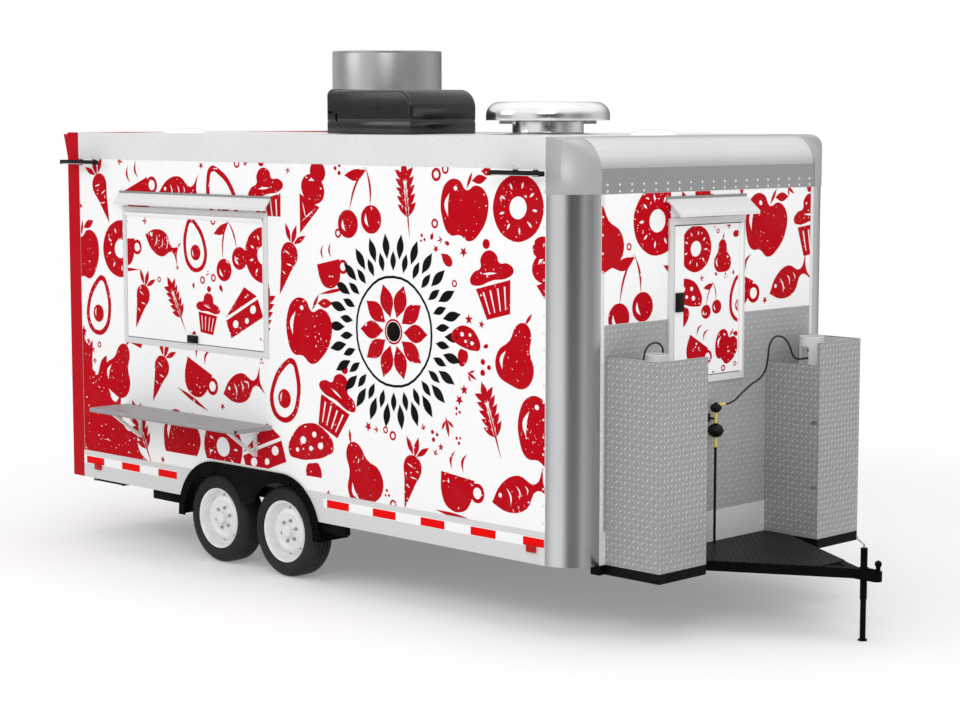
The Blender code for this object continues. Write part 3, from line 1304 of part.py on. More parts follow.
def hub_inner_y():
    """Distance from the centreline to the inner plane of a tyre."""
    return SIDE_Y - WHEEL_INSET - TYRE_WIDTH


def axles():
    inner = hub_inner_y() - DRUM_DEPTH - AXLE_END_CLEARANCE
    outer = hub_inner_y() + TYRE_WIDTH * BORE_DEPTH_SHARE - AXLE_END_CLEARANCE
    for x, word in ((REAR_AXLE_X, "rear"), (FRONT_AXLE_X, "front")):
        profile = [(0, -outer), (SPINDLE_RADIUS, -outer), (SPINDLE_RADIUS, -inner), (AXLE_RADIUS, -inner)]
        profile += [(AXLE_RADIUS, inner), (SPINDLE_RADIUS, inner), (SPINDLE_RADIUS, outer), (0, outer)]
        shape = turned(profile, 16, along_y((x, 0, WHEEL_Z), 1))
        solid(f"axle_{word}", shape, black_paint(), True)


def spring_leaf(x, low, half_length, rise, thickness):
    """One leaf in X and Z: lowest over the axle, with its ends raised."""
    steps = 8
    under = []
    for step in range(steps + 1):
        share = 2 * step / steps - 1
        under.append((x + half_length * share, low + rise * share * share))
    over = [(px, pz + thickness) for px, pz in reversed(under)]
    return under + over


def springs():
    """Each side's two leaf springs, with their seats, hangers and the equaliser between them."""
    seat_low = WHEEL_Z + AXLE_RADIUS + GAP
    leaf_low = seat_low + SPRING_SEAT
    half = SPRING_WIDTH / 2
    top = CHASSIS_LOW - GAP
    for side, word in ((1, "left"), (-1, "right")):
        low, high = mirrored(CHASSIS_RAIL_Y - half, CHASSIS_RAIL_Y + half, side)
        first = spring_leaf(REAR_AXLE_X, leaf_low, SPRING_HALF_LENGTH, SPRING_RISE, SPRING_THICKNESS)
        pack = solid(f"springs_{word}", prism(first, "Y", low, high), black_paint())
        pieces = [prism(spring_leaf(FRONT_AXLE_X, leaf_low, SPRING_HALF_LENGTH, SPRING_RISE, SPRING_THICKNESS), "Y", low, high)]
        fuse(pack, merged(pieces))
        seats = []
        for x in (REAR_AXLE_X, FRONT_AXLE_X):
            seat = SPRING_WIDTH
            seats.append(block((x - seat, low, seat_low), (x + seat, high, leaf_low + SPRING_THICKNESS / 2)))
        fuse(pack, merged(seats))
        end_low = leaf_low + SPRING_RISE - SPRING_THICKNESS / 2
        hangers = []
        middle = (REAR_AXLE_X + FRONT_AXLE_X) / 2
        reach = FRONT_AXLE_X - middle - SPRING_HALF_LENGTH + HANGER_LENGTH / 2
        spans = [(REAR_AXLE_X - SPRING_HALF_LENGTH, HANGER_LENGTH / 2)]
        spans += [(middle, reach), (FRONT_AXLE_X + SPRING_HALF_LENGTH, HANGER_LENGTH / 2)]
        for x, half_span in spans:
            hangers.append(block((x - half_span, low, end_low), (x + half_span, high, top)))
        fuse(pack, merged(hangers))


def tyre_profile():
    """Closed section of the tyre, its flat inner facets just clear of the rim's corners."""
    bead = (RIM_RADIUS * RIM_OUTSIDE_SHARES[0][0] + GAP) / math.cos(math.pi / TYRE_STEPS)
    height = TYRE_RADIUS - bead
    points = []
    for radial, across in TYRE_PROFILE_SHARES:
        points.append((bead + radial * height, across * TYRE_WIDTH))
    return points


def rim_profile():
    """Barrel, dished disc and hub cap outside; the drum, the bore and the disc's back inside."""
    points = [(radial * RIM_RADIUS, across * TYRE_WIDTH) for radial, across in RIM_OUTSIDE_SHARES]
    bore = SPINDLE_RADIUS + SPINDLE_CLEARANCE
    bore_top = TYRE_WIDTH * BORE_DEPTH_SHARE
    points += [(0, bore_top), (bore, bore_top), (bore, -DRUM_DEPTH), (DRUM_RADIUS, -DRUM_DEPTH)]
    drum_top = TYRE_WIDTH * RIM_DISC_BACK_SHARES[0][1]
    points.append((DRUM_RADIUS, drum_top - DRUM_RADIUS * DRUM_TOP_SHARE))
    points += [(radial * RIM_RADIUS, across * TYRE_WIDTH) for radial, across in RIM_DISC_BACK_SHARES[1:]]
    return points


def wheels():
    """Four wheels: a tyre and a steel rim with its hub, each turning about its own axle."""
    inner = hub_inner_y()
    flat = math.pi / TYRE_STEPS
    for side, hand in ((1, "left"), (-1, "right")):
        for x, row in ((REAR_AXLE_X, "rear"), (FRONT_AXLE_X, "front")):
            name = f"{row}_{hand}"
            axis = pivot(f"wheel_axis_{name}", (x, side * inner, WHEEL_Z))
            place = along_y((x, side * inner, WHEEL_Z), side)
            tyre = turned(tyre_profile(), TYRE_STEPS, place, flat)
            solid(f"tyre_{name}", tyre, tyre_rubber(), True, axis)
            rim = solid(f"rim_{name}", turned(rim_profile(), RIM_STEPS, place), wheel_paint(), True, axis)
            ring = RIM_RADIUS * (RIM_OUTSIDE_SHARES[6][0] + RIM_OUTSIDE_SHARES[7][0]) / 2
            holes = []
            for number in range(WHEEL_HOLES):
                angle = math.tau * number / WHEEL_HOLES
                centre = Matrix.Translation((ring * math.cos(angle), ring * math.sin(angle), 0))
                hole = [(0, 0), (WHEEL_HOLE_RADIUS, 0)]
                hole += [(WHEEL_HOLE_RADIUS, TYRE_WIDTH), (0, TYRE_WIDTH)]
                holes.append(turned(hole, WHEEL_HOLE_SIDES, place @ centre))
            cut(rim, merged(holes))


def roof_air_conditioner():
    """A low moulded shroud on a recessed base, higher at the front and rounded all round."""
    x_low = REAR_X + AC_FROM_REAR - AC_LENGTH / 2
    x_high = x_low + AC_LENGTH
    y_low = AC_Y - AC_WIDTH / 2
    y_high = AC_Y + AC_WIDTH / 2
    foot = ROOF_FOOT
    split = foot + AC_BASE_HEIGHT
    top = foot + AC_HEIGHT
    shroud = block((x_low, y_low, split), (x_high, y_high, top))
    upright = []
    for edge in shroud.edges:
        ends = [vert.co for vert in edge.verts]
        if abs(ends[0].z - ends[1].z) > GAP and ends[0].x > (x_low + x_high) / 2:
            upright.append(edge)
    bmesh.ops.bevel(shroud, geom=upright, offset=AC_CORNER_RADIUS, segments=5, profile=0.5, affect="EDGES")
    rim = [edge for edge in shroud.edges if min(vert.co.z for vert in edge.verts) > top - GAP]
    bmesh.ops.bevel(shroud, geom=rim, offset=AC_TOP_RADIUS, segments=5, profile=0.5, affect="EDGES")
    cooler = solid("roof_air_conditioner", shroud, black_plastic(), True)
    inset = AC_BASE_INSET
    base = block((x_low + inset, y_low + inset, foot), (x_high - inset, y_high - inset, split + inset))
    fuse(cooler, base)


def exhaust_cylinder():
    """An open wind band on a square curb, with the motor held by four struts inside it."""
    x = REAR_X + EXHAUST_FROM_REAR
    foot = ROOF_FOOT
    base_top = foot + CURB_HEIGHT
    half = CURB_SIZE / 2
    curb = block((x - half, EXHAUST_Y - half, foot), (x + half, EXHAUST_Y + half, base_top))
    band = solid("exhaust_cylinder", curb, brushed_aluminium(), True)
    place = Matrix.Translation((x, EXHAUST_Y, 0))
    inside = EXHAUST_RADIUS - EXHAUST_SKIN
    mouth = DUCT_RADIUS + EXHAUST_SKIN
    duct = [(0, foot - OVERRUN), (mouth, foot - OVERRUN), (mouth, base_top + OVERRUN)]
    duct.append((0, base_top + OVERRUN))
    cut(band, turned(duct, 32, place, FACET_TURN))
    root = half - EXHAUST_SKIN
    flare_low = base_top - CURB_HEIGHT / 2
    sleeve = mouth + EXHAUST_SKIN
    sleeve_low = foot + CURB_HEIGHT / 4
    shell = [(DUCT_RADIUS, sleeve_low), (sleeve, sleeve_low), (sleeve, flare_low), (root, flare_low)]
    top = foot + EXHAUST_HEIGHT
    shell += [(EXHAUST_RADIUS, base_top), (EXHAUST_RADIUS, top), (inside, top)]
    shell += [(inside, base_top + EXHAUST_SKIN), (DUCT_RADIUS, base_top + EXHAUST_SKIN)]
    fuse(band, turned(shell, 32, place))
    struts = []
    motor_low = foot + FAN_MOTOR_RISE
    middle = motor_low + FAN_MOTOR_HEIGHT / 2
    reach = EXHAUST_RADIUS - EXHAUST_SKIN / 2
    for turn in (0, 1):
        low = (-reach, -STRUT_WIDTH / 2, middle - STRUT_HEIGHT / 2)
        high = (reach, STRUT_WIDTH / 2, middle + STRUT_HEIGHT / 2)
        strut = block(low, high)
        bmesh.ops.transform(strut, matrix=place @ Matrix.Rotation(turn * math.pi / 2, 4, "Z"), verts=strut.verts)
        struts.append(strut)
    fuse(band, struts[0])
    fuse(band, struts[1])
    motor_top = motor_low + FAN_MOTOR_HEIGHT
    motor = [(0, motor_low), (FAN_MOTOR_RADIUS, motor_low), (FAN_MOTOR_RADIUS, motor_top), (0, motor_top)]
    fuse(band, turned(motor, 16, place))


def exhaust_fan():
    """The impeller above the motor: a hub with pitched blades and a short shaft."""
    x = REAR_X + EXHAUST_FROM_REAR
    low = ROOF_FOOT + FAN_MOTOR_RISE + FAN_MOTOR_HEIGHT + GAP
    hub_low = low + FAN_HUB_GAP
    hub_top = hub_low + FAN_HUB_HEIGHT
    axis = pivot("exhaust_fan_axis", (x, EXHAUST_Y, hub_low))
    place = Matrix.Translation((x, EXHAUST_Y, 0))
    hub = [(0, low), (FAN_SHAFT_RADIUS, low), (FAN_SHAFT_RADIUS, hub_low), (FAN_HUB_RADIUS, hub_low)]
    hub += [(FAN_HUB_RADIUS, hub_top), (0, hub_top)]
    fan = solid("exhaust_fan", turned(hub, 18, place), brushed_aluminium(), True, axis)
    tip = EXHAUST_RADIUS - EXHAUST_SKIN - FAN_TIP_GAP
    middle = (hub_low + hub_top) / 2
    root = FAN_HUB_RADIUS / 2
    blades = []
    for number in range(FAN_BLADES):
        half = BLADE_CHORD / 2
        narrow = half / 2
        thick = BLADE_THICKNESS / 2
        outline = [(root, -narrow), (tip, -half), (tip, half), (root, narrow)]
        blade = prism(outline, "Z", -thick, thick)
        turn = Matrix.Rotation(math.tau * number / FAN_BLADES, 4, "Z") @ Matrix.Rotation(BLADE_PITCH, 4, "X")
        matrix = Matrix.Translation((x, EXHAUST_Y, middle)) @ turn
        bmesh.ops.transform(blade, matrix=matrix, verts=blade.verts)
        blades.append(blade)
    for blade in blades:
        fuse(fan, blade)


def roof_ventilator():
    """A neck with an overhanging round cap, which four ribs hold so that air can pass."""
    x = REAR_X + VENTILATOR_FROM_REAR
    place = Matrix.Translation((x, VENTILATOR_Y, 0))
    foot = ROOF_FOOT
    skin = VENTILATOR_SKIN
    neck = VENTILATOR_NECK_RADIUS
    flange = neck + VENTILATOR_FLANGE
    profile = [(neck - skin, foot), (flange, foot), (flange, foot + skin), (neck, foot + skin)]
    neck_top = foot + VENTILATOR_NECK_HEIGHT
    profile += [(neck, neck_top), (neck - skin, neck_top)]
    vent = solid("roof_ventilator", turned(profile, 20, place), chrome(), True)
    outer = VENTILATOR_CAP_RADIUS
    bend = VENTILATOR_CAP_ROUND
    top = foot + VENTILATOR_HEIGHT
    cap_low = top - VENTILATOR_CAP_DEPTH
    cap = [(outer - skin, cap_low), (outer, cap_low)]
    cap += arc((outer - bend, top - bend), (bend, bend), 0, math.pi / 2, 5)
    cap += [(0, top), (0, top - skin)]
    cap += arc((outer - bend, top - bend), (bend - skin, bend - skin), math.pi / 2, 0, 3)
    shell = turned(cap, 20, place)
    rib_low = (neck_top + foot) / 2
    thick = VENTILATOR_RIB_THICKNESS / 2
    ribs = []
    for number in range(VENTILATOR_RIBS):
        rib = block((neck - skin / 2, -thick, rib_low), (outer - bend, thick, top - skin / 2))
        matrix = place @ Matrix.Rotation(math.tau * (number + 0.5) / VENTILATOR_RIBS, 4, "Z")
        bmesh.ops.transform(rib, matrix=matrix, verts=rib.verts)
        ribs.append(rib)
    fuse(vent, merged(ribs))
    fuse(vent, shell)


def main():
    clear_scene()
    floor_pan()
    chassis_rails()
    drawbar_rails()
    drawbar_deck()
    coupler()
    jack_tube()
    jack_leg()
    gas_boxes()
    gas_bottles()
    gas_regulator()
    gas_hoses()
    side_walls()
    serving_hatch_frame()
    serving_hatch_door()
    serving_drip_cap()
    serving_shelf()
    top_rails()
    flood_lights()
    front_wall()
    front_hatch_frame()
    front_hatch_door()
    front_drip_cap()
    front_corners()
    front_top_rail()
    roof()
    rear_hoop()
    rear_wall()
    rear_door()
    stabilisers()
    fenders()
    axles()
    springs()
    wheels()
    roof_air_conditioner()
    exhaust_cylinder()
    exhaust_fan()
    roof_ventilator()


main()
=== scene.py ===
import json
import math
import random

import bpy
from mathutils import Matrix, Vector

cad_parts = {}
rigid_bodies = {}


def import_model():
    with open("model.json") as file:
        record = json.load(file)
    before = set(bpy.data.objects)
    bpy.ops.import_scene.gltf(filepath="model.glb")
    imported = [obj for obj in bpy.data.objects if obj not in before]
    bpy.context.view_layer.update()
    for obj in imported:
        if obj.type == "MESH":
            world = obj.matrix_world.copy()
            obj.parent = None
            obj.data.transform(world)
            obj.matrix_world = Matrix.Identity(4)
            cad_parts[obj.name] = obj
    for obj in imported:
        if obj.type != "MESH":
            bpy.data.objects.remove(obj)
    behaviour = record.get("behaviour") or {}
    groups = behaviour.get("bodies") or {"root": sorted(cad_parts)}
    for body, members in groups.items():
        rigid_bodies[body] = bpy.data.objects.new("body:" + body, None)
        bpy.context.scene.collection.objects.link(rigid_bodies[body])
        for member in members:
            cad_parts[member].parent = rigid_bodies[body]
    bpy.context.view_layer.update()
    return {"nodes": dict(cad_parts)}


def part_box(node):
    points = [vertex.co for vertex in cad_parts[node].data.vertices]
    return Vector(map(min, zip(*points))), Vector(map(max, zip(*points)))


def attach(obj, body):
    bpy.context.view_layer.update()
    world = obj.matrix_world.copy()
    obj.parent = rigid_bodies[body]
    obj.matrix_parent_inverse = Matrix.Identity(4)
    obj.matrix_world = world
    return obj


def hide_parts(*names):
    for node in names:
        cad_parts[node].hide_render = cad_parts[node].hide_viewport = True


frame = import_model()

NODES = frame["nodes"]
TAU = math.tau
ROOT = "trailer"
ORIGIN = (0.0, 0.0, 0.0)

# Camera: measured from the trailer's origin on the ground below the jack
CAMERA_PLACE = (7.2193, -10.351, 2.987)
CAMERA_TURN = (math.pi / 2 - 0.1099, 0.0, 0.7835)
CAMERA_LENS = 83.01
SENSOR_WIDTH = 36.0

# Sizes shared by the added pieces, in metres
GAP = 0.0003
SIDE_Y = 1.22
FRONT_X = -1.13
REAR_X = -6.01
SKIRT_TOP = 0.607
BODY_BOTTOM = 0.415
PLATE_TOP = 1.80
FLANGE_LOW = 2.545
POST_RADIUS = 0.22
POST_INSIDE = 0.16
POST_X = FRONT_X - POST_RADIUS
POST_Y = SIDE_Y - POST_RADIUS
RAIL_LOW = 2.688
SERVING_LEAF_Y = -1.226
FRONT_LEAF_X = FRONT_X + 0.015
ROOF_TOP = 2.87
EDGE_RADIUS = 0.2002
WALL_START_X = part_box("right_wall")[0][0]
WALL_END_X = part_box("right_wall")[1][0]

# Print: its thickness, the lifts that keep overlapping bodies and motifs apart, its distance
# from the sheet, the margins it keeps to the wall's ends and to the pieces above and below it,
# the room round the wheel arch, the part under a hatch frame, and small motifs per square metre
INK = 0.0008
BODY_LIFT = 0.03
PRINT_LIFT = 0.00006
PRINT_GAP = 0.0002
END_MARGIN = 0.004
EDGE_MARGIN = 0.002
ARCH_ROOM = 0.03
ARCH_TOP = 0.7
FRAME_LAP = 0.02
SPRINKLES = 700

# Studio: the floor's own light, where the floor is seen from in mirrors, the sky's level, and
# the screens that only mirrors show, each with its azimuth, half width and strength
FLOOR_FADE = 0.22
POST_FROM_FLOOR = (1.7, -1.1)
SKY = 0.75
SCREENS = (
    (-92, 36, 0.5), (-44, 32, -0.36), (10, 16, -0.14), (60, 30, 0.25), (120, 30, -0.2), (176, 30, 0.3),
)

# Plates, strips and gas boxes
PLATE_PITCH = 0.033
SHELF_LOW = 0.955
TAPE_LOW = 0.518
TAPE_HIGH = 0.568
TAPE_LENGTH = 0.207
BOX_FRONT_X = -0.72
BOX_INNER_Y = 0.535
BOX_OUTER_Y = 0.95
BOX_FLOOR = 0.4147
BOX_SHEET = 0.003

# Wall print, roof fittings, running gear and gas line
WREATH_PLACE = (-2.62, 1.68)
WREATH_SIZE = 1.2
WAVE_SIZE = (0.75, 0.95)
CURB_HALF = 0.3
CURB_RISE = 0.035
DUCT_RADIUS = 0.23
SEAM_TURN = 2.3
TYRE_WIDTH = 0.19
REAR_AXLE_X = -4.378
FRONT_AXLE_X = -3.694
WHEEL_Z = 0.29955
FENDER_RADIUS = 0.385
CUSP_TURN = math.pi - math.asin((0.45 - WHEEL_Z) / (FENDER_RADIUS - 0.058))
HOSE_DIAMETER = 0.012
PIPE_PLACE = (-1.068, -0.028)
HEX_RADIUS = 0.0125
BOTTLE_RADIUS = 0.184

# Gas hoses: the routes that the part's own hoses take
LEFT_HOSE_ROUTE = (
    (-1.068, 0.0583, 1.2621), (-1.068, 0.0703, 1.2621), (-1.058, 0.09, 1.264), (-1.05, 0.14, 1.285),
    (-1.042, 0.2, 1.325), (-1.03, 0.26, 1.365), (-1.01, 0.32, 1.4), (-0.995, 0.355, 1.45),
    (-0.985, 0.365, 1.52), (-0.98, 0.37, 1.59), (-0.975, 0.4, 1.64), (-0.97, 0.45, 1.652),
    (-0.965, 0.51, 1.63), (-0.958, 0.548, 1.58), (-0.95, 0.566, 1.53), (-0.943, 0.59, 1.506),
    (-0.937, 0.63, 1.5), (-0.936, 0.6962, 1.5), (-0.936, 0.7082, 1.5),
)
RIGHT_HOSE_ROUTE = (
    (-0.936, -0.7768, 1.5), (-0.936, -0.7888, 1.5), (-0.936, -0.8097, 1.504), (-0.936, -0.8281, 1.516),
    (-0.936, -0.8399, 1.534), (-0.936, -0.844, 1.555), (-0.938, -0.844, 1.588), (-0.94, -0.8425, 1.622),
    (-0.942, -0.826, 1.662), (-0.946, -0.788, 1.689), (-0.952, -0.7355, 1.698), (-0.96, -0.6825, 1.687),
    (-0.969, -0.644, 1.6575), (-0.979, -0.63, 1.62), (-0.99, -0.628, 1.585), (-1.0, -0.6275, 1.55),
    (-1.009, -0.6275, 1.52), (-1.019, -0.6275, 1.492), (-1.036, -0.6275, 1.4695), (-1.06, -0.6275, 1.4555),
    (-1.091, -0.6275, 1.45), (-1.1297, -0.6275, 1.45),
)


def tone(red, green, blue):
    """A linear colour from values of 0 to 255 as they are seen."""
    shares = (red / 255, green / 255, blue / 255)
    return tuple(v / 12.92 if v <= 0.04045 else ((v + 0.055) / 1.055) ** 2.4 for v in shares)


WRAP_WHITE = tone(246, 246, 246)
PRINT_RED = tone(184, 6, 24)
TRIM_WHITE = tone(222, 222, 222)
SKIRT_GREY = tone(212, 212, 212)
PLATE_GREY = tone(154, 154, 154)
BLACK = tone(2, 2, 2)
TYRE_GREY = tone(30, 30, 31)
DUST = tone(150, 146, 138)


# Node wiring

class Wiring:
    """Adds nodes to one tree; a value is either a plain number or another node's socket."""

    def __init__(self, tree):
        self.tree = tree

    def node(self, kind, **settings):
        made = self.tree.nodes.new(kind)
        for key, value in settings.items():
            setattr(made, key, value)
        return made

    def feed(self, socket, value):
        if isinstance(value, bpy.types.NodeSocket):
            self.tree.links.new(value, socket)
        elif value is not None:
            socket.default_value = value

    def math(self, operation, *values):
        made = self.node("ShaderNodeMath", operation=operation)
        for socket, value in zip(made.inputs, values):
            self.feed(socket, value)
        return made.outputs[0]

    def plus(self, first, second):
        return self.math("ADD", first, second)

    def minus(self, first, second):
        return self.math("SUBTRACT", first, second)

    def times(self, first, second):
        return self.math("MULTIPLY", first, second)

    def over(self, first, second):
        return self.math("DIVIDE", first, second)

    def above(self, value, limit):
        return self.math("GREATER_THAN", value, limit)

    def below(self, value, limit):
        return self.math("LESS_THAN", value, limit)

    def fit(self, value, low, high, to_low=0.0, to_high=1.0):
        """A smooth step of the value between two limits."""
        made = self.node("ShaderNodeMapRange", interpolation_type="SMOOTHSTEP")
        for socket, given in zip(made.inputs, (value, low, high, to_low, to_high)):
            self.feed(socket, given)
        return made.outputs[0]

    def mix(self, share, first, second):
        made = self.node("ShaderNodeMix", data_type="RGBA")
        for index, given in ((0, share), (6, first), (7, second)):
            if isinstance(given, tuple):
                given = (*given, 1.0)
            self.feed(made.inputs[index], given)
        return made.outputs[2]

    def noise(self, place, scale, detail=3.0):
        made = self.node("ShaderNodeTexNoise")
        self.feed(made.inputs["Vector"], place)
        self.feed(made.inputs["Scale"], scale)
        made.inputs["Detail"].default_value = detail
        return made.outputs["Fac"]

    def split(self, place):
        made = self.node("ShaderNodeSeparateXYZ")
        self.feed(made.inputs[0], place)
        return made.outputs

    def vector(self, x, y, z):
        made = self.node("ShaderNodeCombineXYZ")
        for socket, value in zip(made.inputs, (x, y, z)):
            self.feed(socket, value)
        return made.outputs[0]

    def stretched(self, place, scale):
        made = self.node("ShaderNodeVectorMath", operation="MULTIPLY")
        self.feed(made.inputs[0], place)
        self.feed(made.inputs[1], scale)
        return made.outputs[0]

    def use(self, group, **values):
        made = self.node("ShaderNodeGroup", node_tree=group)
        for key, value in values.items():
            self.feed(made.inputs[key], value)
        return made.outputs


def effect(name, inputs, outputs):
    """An empty shader node group with named sockets, its wiring, its inputs and its end."""
    group = bpy.data.node_groups.new(name, "ShaderNodeTree")
    kinds = {"float": "NodeSocketFloat", "vector": "NodeSocketVector", "colour": "NodeSocketColor"}
    for socket, kind in inputs:
        group.interface.new_socket(name=socket, in_out="INPUT", socket_type=kinds[kind])
    for socket, kind in outputs:
        group.interface.new_socket(name=socket, in_out="OUTPUT", socket_type=kinds[kind])
    wiring = Wiring(group)
    given, end = wiring.node("NodeGroupInput"), wiring.node("NodeGroupOutput")
    return group, wiring, given.outputs, end.inputs


def chequer_effect():
    """Raised lens-shaped lugs, turned 45 degrees one way and the other in a checkerboard, and a painted
    highlight in the middle of every other lug.
    """
    inputs = (("Place", "vector"), ("Pitch", "float"), ("Slimness", "float"))
    group, w, given, end = effect("chequer_lugs", inputs, (("Lug", "float"), ("PaintedGleam", "float")))
    along, across, _ = w.split(given["Place"])
    along = w.over(along, given["Pitch"])
    across = w.over(across, given["Pitch"])
    cells = w.plus(w.math("FLOOR", along), w.math("FLOOR", across))
    odd = w.times(w.math("FRACT", w.times(cells, 0.5)), 2.0)
    turn = w.minus(1.0, w.times(odd, 2.0))
    a = w.minus(w.math("FRACT", along), 0.5)
    b = w.times(w.minus(w.math("FRACT", across), 0.5), turn)
    long_way = w.over(w.plus(a, b), 0.74)
    short_way = w.times(w.minus(a, b), given["Slimness"])
    far = w.plus(w.times(long_way, long_way), w.times(short_way, short_way))
    w.feed(end["Lug"], w.fit(far, 1.0, 0.45))
    # The second output is a painted highlight: a spot in the middle of the lugs that are turned one way
    # only.
    w.feed(end["PaintedGleam"], w.times(w.fit(w.times(far, 3.2), 1.0, 0.2), w.below(odd, 0.5)))
    return group


def patina_effect():
    """Slow and fine changes of tone, and road dust that thins out with height."""
    inputs = (("Colour", "colour"), ("Amount", "float"), ("Scale", "float"), ("Dust", "float"))
    outputs = (("Colour", "colour"), ("Fine", "float"), ("Height", "float"))
    group, w, given, end = effect("patina", inputs, outputs)
    place = w.node("ShaderNodeTexCoord").outputs["Object"]
    slow = w.noise(place, given["Scale"], 4.0)
    fine = w.noise(place, w.times(given["Scale"], 38.0), 2.0)
    darker = w.times(given["Amount"], w.fit(slow, 0.35, 0.75))
    toned = w.mix(darker, given["Colour"], tone(90, 88, 84))
    height = w.split(place)[2]
    low = w.times(w.fit(height, 0.75, 0.1), w.fit(fine, 0.3, 0.62))
    w.feed(end["Colour"], w.mix(w.times(low, given["Dust"]), toned, DUST))
    w.feed(end["Fine"], fine)
    w.feed(end["Height"], slow)
    return group


def brushing_effect():
    """Fine streaks, drawn out along one axis by the scale that is given."""
    inputs = (("Stretch", "vector"),)
    outputs = (("Streak", "float"), ("Band", "float"))
    group, w, given, end = effect("brushing", inputs, outputs)
    place = w.stretched(w.node("ShaderNodeTexCoord").outputs["Object"], given["Stretch"])
    w.feed(end["Streak"], w.noise(place, 1.0, 3.0))
    w.feed(end["Band"], w.noise(place, 0.12, 1.0))
    return group


def stamp_effect():
    """Ink that didn't take everywhere: specks and scratches where the ground shows."""
    group, w, given, end = effect("stamped_ink", (("Wear", "float"),), (("Ink", "float"),))
    place = w.node("ShaderNodeTexCoord").outputs["Object"]
    specks = w.noise(place, 46.0, 4.0)
    patches = w.noise(place, 5.0, 2.0)
    limit = w.plus(given["Wear"], w.times(w.fit(patches, 0.35, 0.7), 0.07))
    high = w.minus(1.0, limit)
    w.feed(end["Ink"], w.fit(specks, w.plus(high, 0.012), high))
    return group


def surroundings_effect():
    """Level of the studio's walls by the way one looks: bright and dark screens, light above."""
    inputs = (("Place", "vector"), ("Rise", "float"))
    group, w, given, end = effect("studio_walls", inputs, (("Level", "float"),))
    x, y, _ = w.split(given["Place"])
    turn = w.math("ARCTAN2", y, x)
    level = 0.42
    for centre, half, strength in SCREENS:
        facing = w.math("COSINE", w.minus(turn, math.radians(centre)))
        screen = w.fit(facing, math.cos(math.radians(half)), 1.0, 0.0, strength)
        level = w.plus(screen, level)
    above = w.fit(given["Rise"], 0.05, 0.65)
    brighter = w.times(above, w.minus(1.15, level))
    w.feed(end["Level"], w.plus(level, brighter))
    return group


SURROUNDINGS = surroundings_effect()
CHEQUER = chequer_effect()
PATINA = patina_effect()
BRUSHING = brushing_effect()
STAMP = stamp_effect()


# Finishes

def finish_of(name, colour, roughness, metallic=0.0, coat=0.0, specular=0.5):
    """A Principled material with its own constants, and the wiring of its tree."""
    made = bpy.data.materials.new(name)
    made.use_nodes = True
    w = Wiring(made.node_tree)
    shader = made.node_tree.nodes["Principled BSDF"]
    shader.inputs["Base Color"].default_value = (*colour, 1.0)
    shader.inputs["Roughness"].default_value = roughness
    shader.inputs["Metallic"].default_value = metallic
    shader.inputs["Coat Weight"].default_value = coat
    shader.inputs["Coat Roughness"].default_value = 0.08
    shader.inputs["Specular IOR Level"].default_value = specular
    return made, w, shader.inputs


def bump(w, sockets, height, distance, strength=1.0):
    made = w.node("ShaderNodeBump")
    made.inputs["Strength"].default_value = strength
    made.inputs["Distance"].default_value = distance
    w.feed(made.inputs["Height"], height)
    w.feed(sockets["Normal"], made.outputs[0])


def weathered(w, sockets, colour, amount, scale, dust, gloss=None):
    """A colour with its patina, and a roughness between two limits."""
    if isinstance(colour, tuple):
        colour = (*colour, 1.0)
    worn = w.use(PATINA, Colour=colour, Amount=amount, Scale=scale, Dust=dust)
    w.feed(sockets["Base Color"], worn["Colour"])
    if gloss:
        w.feed(sockets["Roughness"], w.fit(worn["Fine"], 0.2, 0.8, *gloss))
    return worn


def object_place(w):
    return w.node("ShaderNodeTexCoord").outputs["Object"]


def painted(name, colour, roughness, amount=0.05, scale=3.0, dust=0.0, peel=0.25, **more):
    """Paint over sheet metal: slight changes of tone and gloss, and orange peel in the bump."""
    made, w, sockets = finish_of(name, colour, roughness, **more)
    limits = (roughness - 0.06, roughness + 0.08)
    worn = weathered(w, sockets, colour, amount, scale, dust, limits)
    bump(w, sockets, worn["Fine"], 0.0004, peel)
    return made


def brushed(name, colour, roughness, stretch):
    """Brushed sheet: streaks along one axis in tone, gloss and bump."""
    made, w, sockets = finish_of(name, colour, roughness, 1.0)
    lines = w.use(BRUSHING, Stretch=stretch)
    worn = w.use(PATINA, Colour=(*colour, 1.0), Amount=0.1, Scale=1.5, Dust=0.1)
    darker = tuple(v * 0.96 for v in colour)
    w.feed(sockets["Base Color"], w.mix(w.fit(lines["Streak"], 0.3, 0.75), worn["Colour"], darker))
    w.feed(sockets["Roughness"], w.fit(lines["Streak"], 0.2, 0.8, roughness - 0.02, roughness + 0.03))
    bump(w, sockets, lines["Streak"], 0.0001, 0.05)
    return made


def plate_place(w, flat):
    """In-plane coordinates of a sheet: X and Y on a deck, or X plus Y and Z on upright sheets."""
    x, y, z = w.split(object_place(w))
    return w.vector(x, y, 0.0) if flat else w.vector(w.plus(x, y), z, 0.0)


def tread_plate(name, colour, roughness, metallic, pitch, flat=False, dust=0.1):
    """Chequer plate: bright raised lugs on a duller ground."""
    made, w, sockets = finish_of(name, colour, roughness, metallic, specular=0.04)
    lug = w.use(CHEQUER, Place=plate_place(w, flat), Pitch=pitch, Slimness=3.2 if flat else 5.5)["Lug"]
    worn = w.use(PATINA, Colour=(*colour, 1.0), Amount=0.12, Scale=2.0, Dust=dust)
    bright = tuple(v * 1.5 + 0.03 * flat + 0.008 for v in colour)
    w.feed(sockets["Base Color"], w.mix(w.times(lug, 0.75), worn["Colour"], bright))
    w.feed(sockets["Roughness"], w.fit(lug, 0.0, 1.0, roughness, roughness * 0.6))
    bump(w, sockets, lug, 0.0016, 0.9)
    return made


